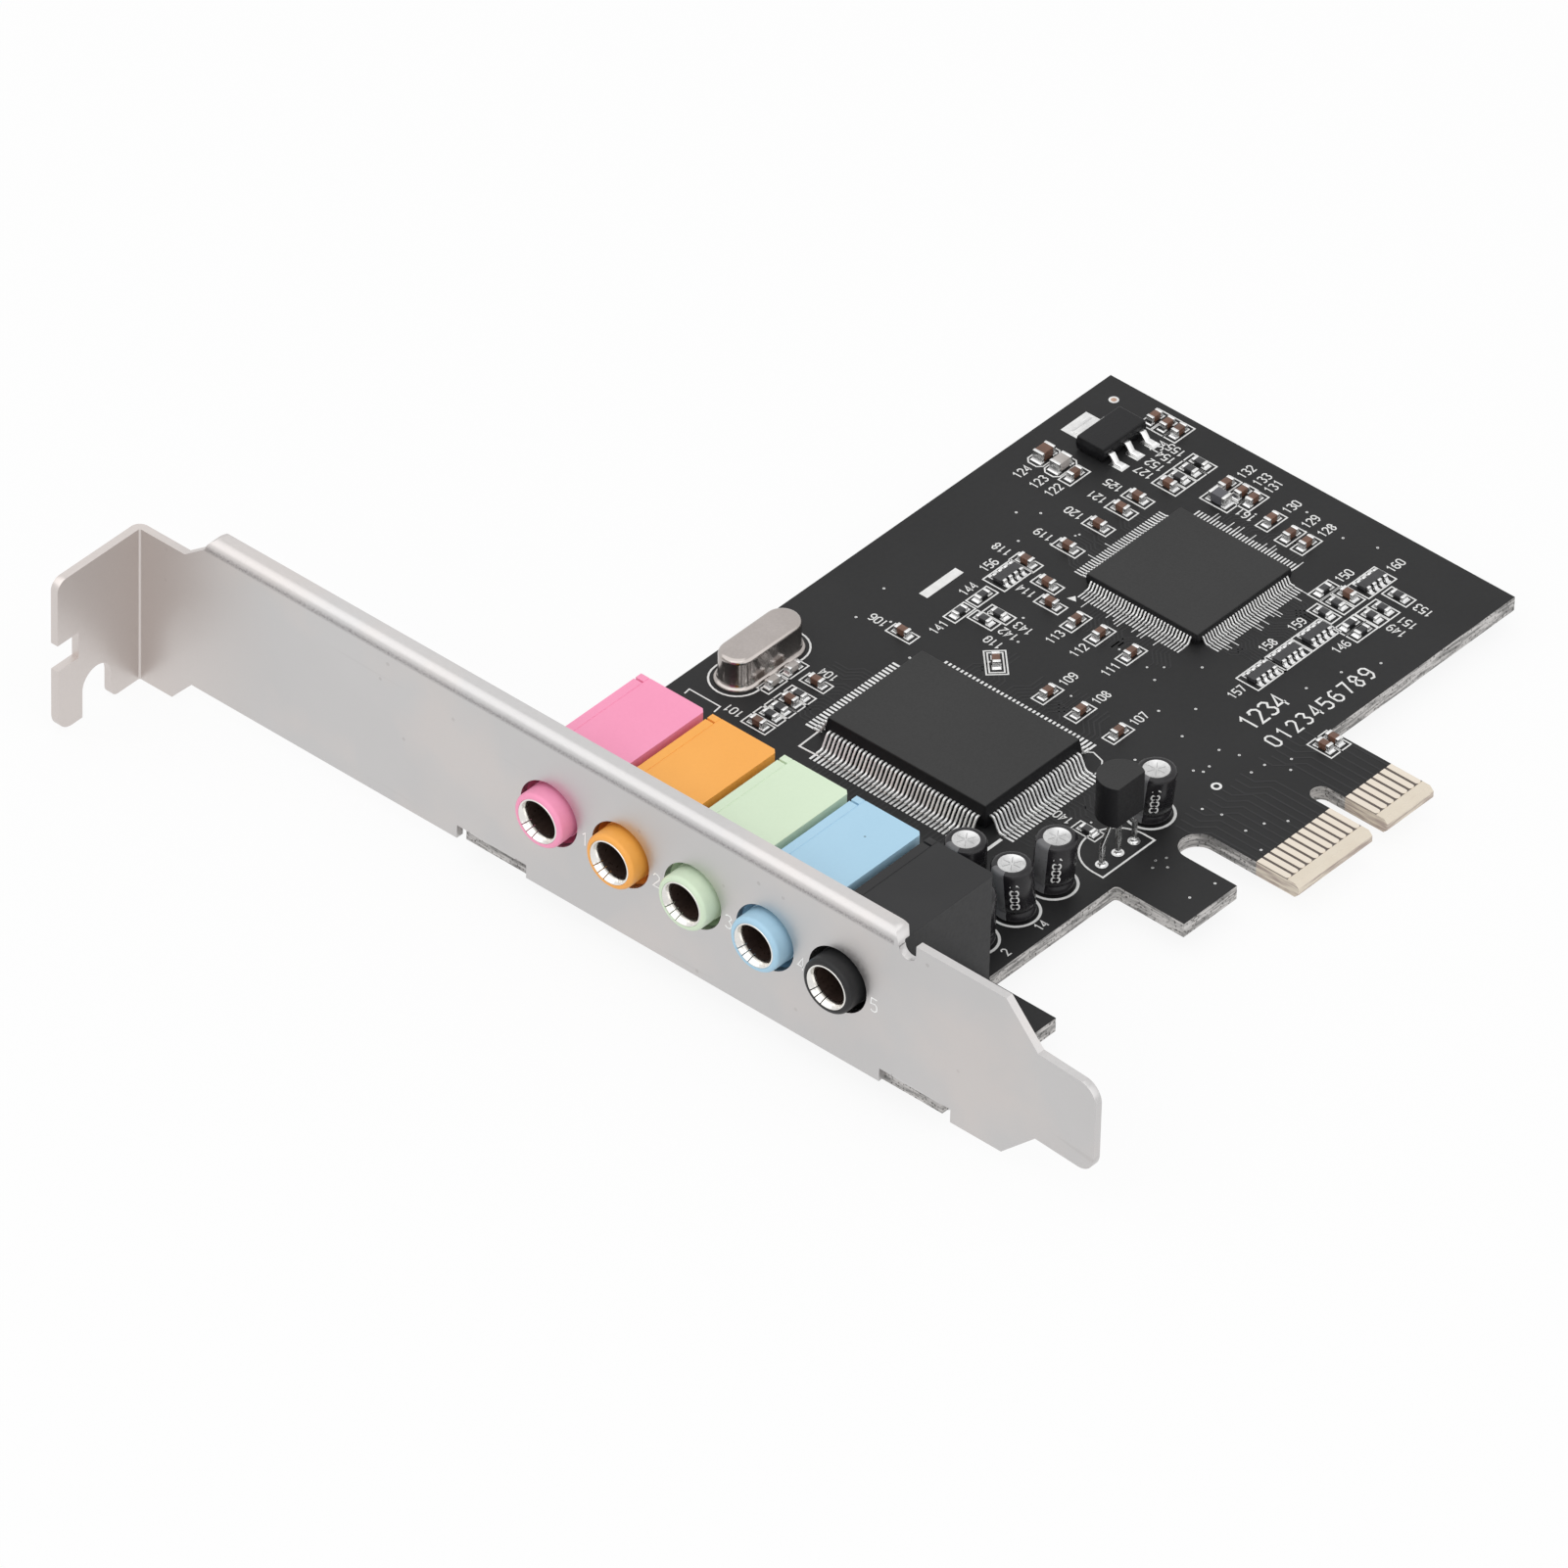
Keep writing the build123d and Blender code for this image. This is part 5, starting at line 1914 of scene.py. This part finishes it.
@dataclass
class SmallParts:
    """All small parts with their pads, solder, printed frames and plain numbers."""

    kinds: tuple[SmallKind, ...] = (
        SmallKind(
            "chip_capacitor",
            "chip_capacitor_bodies",
            CAPACITOR_CLAY,
            frame_cut=0.45,
            pale=((36.7, 11.4), (39.5, 11.4), (80.4, 12.9)),
        ),
        SmallKind("chip_resistor", "chip_resistor_bodies", RESISTOR_GLAZE),
        SmallKind("resistor_array", "resistor_array_bodies", RESISTOR_GLAZE, many_ends=True),
        SmallKind("ferrite_bead", "ferrite_bead_body", FERRITE),
    )
    overhang: float = 0.25
    pad_length: float = 0.7
    cap: float = 0.35

    def build(self, bench: Bench, metal: Metalwork, ink: Print, edges: tuple[float, float, float, float]) -> None:
        """Fit every kind of small part.

        Args:
            bench: Bench that the pieces are fitted on.
            metal: Metalwork that the pads and the solder go into.
            ink: Print that the frames and the numbers go into.
            edges: Limits of the board: low and high X, low and high Y.
        """
        named: list[tuple[Block, float, float]] = []
        for kind in self.kinds:
            bodies = blocks_of(bench.node(kind.body))
            for body in bodies:
                wide = body.width + (1.75 if kind.many_ends else 0.72)
                long = body.length + (0.9 if kind.many_ends else 2.1)
                ink.frame(body, long, wide, kind.frame_cut if body.width > 1.0 else 0.0)
                named.append((body, long, wide))
            if kind.many_ends:
                self.solder_rows(metal, bodies, blocks_of(bench.node(kind.stem + "_ends")))
            else:
                self.solder_ends(metal, bodies)
            shown = bench.rounded(kind.body, kind.finish, 0.05, 2)
            self.pick_out(shown, kind.pale)
            bench.rounded(kind.stem + "_ends", TIN, 0.06, 2)
        for block, long, wide in named:
            ink.name_part(block, long, wide, edges)

    def pick_out(self, shown: Thing, places: tuple[Flat, ...]) -> None:
        """Give the bodies at some places the paler ceramic.

        Args:
            shown: Piece that holds the bodies.
            places: Middles of the pale ones.
        """
        shown.data.materials.append(PALE_CERAMIC.material())
        for face in shown.data.polygons:
            x, y = face.center.x / MM, face.center.y / MM
            if any(math.hypot(x - a, y - b) < 0.9 for a, b in places):
                face.material_index = 1

    def solder_ends(self, metal: Metalwork, bodies: list[Block]) -> None:
        """Lay pads and solder beyond both ends of each body.

        Args:
            metal: Metalwork that the pads and the solder go into.
            bodies: Bodies of the parts, without their end caps.
        """
        for body in bodies:
            length = body.length + 2 * self.cap
            for way in (-1, 1):
                x, y = body.corner(way * (length / 2 - 0.05), 0)
                pad = Block(x, y, body.angle, self.pad_length, body.width + 0.16, 0, 0)
                metal.pad(pad.outline(pad.length, pad.width))
                whole = Block(body.x, body.y, body.angle, length, body.width, 0.0, body.high)
                metal.wedge(whole, way, self.overhang, body.high * 0.5)

    def solder_rows(self, metal: Metalwork, bodies: list[Block], ends: list[Block]) -> None:
        """Lay a pad and solder at each of the arrays' many ends.

        Args:
            metal: Metalwork that the pads and the solder go into.
            bodies: Bodies of the arrays.
            ends: Their end caps.
        """
        for end in ends:
            near = min(bodies, key=lambda body: math.hypot(body.x - end.x, body.y - end.y))
            way = 1 if end.y > near.y else -1
            turned = Block(end.x, end.y, math.pi / 2, 0.3, 0.42, 0.0, end.high)
            metal.wedge(turned, way, 0.3, end.high * 0.6)
            pad = Block(end.x, end.y + way * 0.2, math.pi / 2, 0.85, 0.5, 0, 0)
            metal.pad(pad.outline(pad.length, pad.width))


@dataclass
class LoosePrint:
    """Printed marks that belong to no small part: pin marks, corners and bars."""

    def build(self, ink: Print) -> None:
        """Print the marks.

        Args:
            ink: Print that the marks go into.
        """
        ink.draft.prism([(56.4, 9.1), (61.7, 9.1), (61.7, 10.15), (56.4, 10.15)], -SUNK, ink.rise)
        ink.draft.prism([(65.4, -0.7), (66.2, -1.1), (65.6, -1.7)], -SUNK, ink.rise)
        ink.trace([(34.2, 3.5), (31.3, 3.4), (31.4, 1.1)], width=0.2)
        ink.trace([(31.5, -19.7), (33.7, -19.7)], width=0.35)
        ink.trace([(29.9, 16.6), (30.7, 16.7), (30.7, 12.8), (29.7, 12.7)])
        ink.trace([(48.8, -16.9), (49.4, -17.7), (49.0, -19.1), (48.1, -19.8), (47.0, -19.9)])
        ink.draft.annulus((53.4, -29.5), 0.55, 0.3, -SUNK, ink.rise)
        ink.number("0123456789", 69.1, -29.1, height=1.75, gap=1.75)
        ink.number("1234", 64.9, -25.6, height=2.1, gap=1.4)
        ink.number("14", 26.6, -30.7)
        ink.number("2", 21.4, -30.8)
        for step in range(12):
            ink.claim(60.5 + step * 1.6, -29.1, 1.1)
        for step in range(4):
            ink.claim(62.6 + step * 1.5, -25.6, 1.2)
        block = Block(53.4, -2.1, math.radians(45), 1.6, 0.8, 0, 0.8)
        ink.trace(block.outline(3.6, 2.1), closed=True, width=0.15)
        for x, y in ((58.9, 13.4), (60.9, 11.0)):
            ink.claim(x, y, 2.5)


# Camera, lamps and floor


@dataclass
class Studio:
    """Pale floor, soft lamps, white surroundings and the camera."""

    floor_level: float = -3.66
    floor_reach: float = 3000.0
    floor_depth: float = 5.0
    focal: float = 461.2
    place: Colour = (-1.09387, -0.94459, 1.19637)
    right: Colour = (0.65766856, -0.75302262, 0.02071233)
    up: Colour = (0.46583314, 0.42814568, 0.77439703)
    back: Colour = (-0.59200638, -0.49964809, 0.63236084)
    shift: Flat = (-0.0006, -0.0001)
    sky: float = 0.62
    aim: Colour = (0.04, -0.01, 0.0)
    lamps: tuple[tuple[Colour, float, float], ...] = (
        ((-0.32, 0.20, 1.05), 1.90, 7.0),
        ((-0.95, -0.60, 0.80), 1.50, 3.6),
        ((0.30, -1.05, 0.80), 1.50, 3.4),
    )

    def build(self) -> None:
        """Set up everything that the card is looked at with."""
        self.camera()
        self.surroundings()
        self.floor()
        for number, lamp in enumerate(self.lamps, start=1):
            self.lamp(number, *lamp)
        bpy.context.scene.view_settings.view_transform = "Standard"

    def camera(self) -> None:
        """Place the camera at the photograph's angle."""
        data = bpy.data.cameras.new("camera")
        data.lens = self.focal
        data.sensor_width = 36.0
        data.sensor_fit = "HORIZONTAL"
        data.shift_x, data.shift_y = self.shift
        data.clip_end = 20.0
        camera = bpy.data.objects.new("camera", data)
        bpy.context.scene.collection.objects.link(camera)
        axes = Matrix((self.right, self.up, self.back)).transposed()
        camera.matrix_world = Matrix.Translation(self.place) @ axes.to_4x4()
        bpy.context.scene.camera = camera

    def seen(self, graph: Graph) -> bpy.types.NodeSocket:
        """Give 1 where a ray comes from the camera, a reflection or a clear body.

        Args:
            graph: Graph of the material or the surroundings.

        Returns:
            The mask.
        """
        path = graph.add("ShaderNodeLightPath")
        first = graph.maths("MAXIMUM", path.outputs["Is Camera Ray"], path.outputs["Is Glossy Ray"])
        return graph.maths("MAXIMUM", first, path.outputs["Is Transmission Ray"])

    def surroundings(self) -> None:
        """White surroundings that light the card softly."""
        world = bpy.data.worlds.new("surroundings")
        world.use_nodes = True
        bpy.context.scene.world = world
        graph = Graph(world.node_tree)
        background = world.node_tree.nodes["Background"]
        colour = graph.blend(self.seen(graph), (self.sky, self.sky, self.sky), (1.0, 1.0, 1.0))
        world.node_tree.links.new(colour, background.inputs["Color"])
        background.inputs["Strength"].default_value = 1.0

    def floor(self) -> None:
        """Large pale floor that the card lies on."""
        draft = Draft()
        far, level = self.floor_reach, self.floor_level
        draft.prism([(-far, -far), (far, -far), (far, far), (-far, far)], level - self.floor_depth, level)
        floor = draft.finish("floor", (INK,))
        material = bpy.data.materials.new("pale_floor")
        material.use_nodes = True
        nodes = material.node_tree.nodes
        nodes.remove(nodes["Principled BSDF"])
        graph = Graph(material.node_tree)
        matt = graph.add("ShaderNodeBsdfDiffuse", {"Color": (0.85, 0.85, 0.85, 1.0)})
        white = graph.add("ShaderNodeEmission", {"Color": (1.0, 1.0, 1.0, 1.0), "Strength": 1.0})
        share = graph.maths("MULTIPLY", self.seen(graph), 0.9)
        both = graph.add("ShaderNodeMixShader", {0: share, 1: matt.outputs[0], 2: white.outputs[0]})
        material.node_tree.links.new(both.outputs[0], nodes["Material Output"].inputs["Surface"])
        floor.data.materials[0] = material

    def lamp(self, number: int, place: Colour, size: float, power: float) -> None:
        """Hang one soft lamp that looks at the middle of the card.

        Args:
            number: Number in its name.
            place: Where it hangs, in metres.
            size: Length of its side.
            power: Its power in watts.
        """
        data = bpy.data.lights.new(f"lamp_{number}", "AREA")
        data.size = size
        data.energy = power
        lamp = bpy.data.objects.new(f"lamp_{number}", data)
        bpy.context.scene.collection.objects.link(lamp)
        lamp.location = place
        way = Vector(self.aim) - Vector(place)
        lamp.rotation_euler = way.to_track_quat("-Z", "Y").to_euler()


def main() -> None:
    """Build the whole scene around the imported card."""
    logging.basicConfig(level=logging.INFO, format="%(name)s: %(message)s")
    bench = Bench(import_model())
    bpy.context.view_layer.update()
    Studio().build()
    ink, metal, board = Print(), Metalwork(), Board()
    BracketSheet().build(bench)
    Screws().build(bench)
    board.build(bench, metal)
    for colour, row in zip(JACK_COLOURS, BracketSheet().rows):
        Jack(colour, row).build(bench)
    JackPins().build(metal)
    for part in (AUDIO, BRIDGE, Regulator(), Crystal(), Capacitors(), Transistor()):
        part.build(bench, metal, ink)
    LoosePrint().build(ink)
    SmallParts().build(bench, metal, ink, board.edges)
    ink.finish(bench)
    metal.finish(bench)


if __name__ == "__main__":
    main()
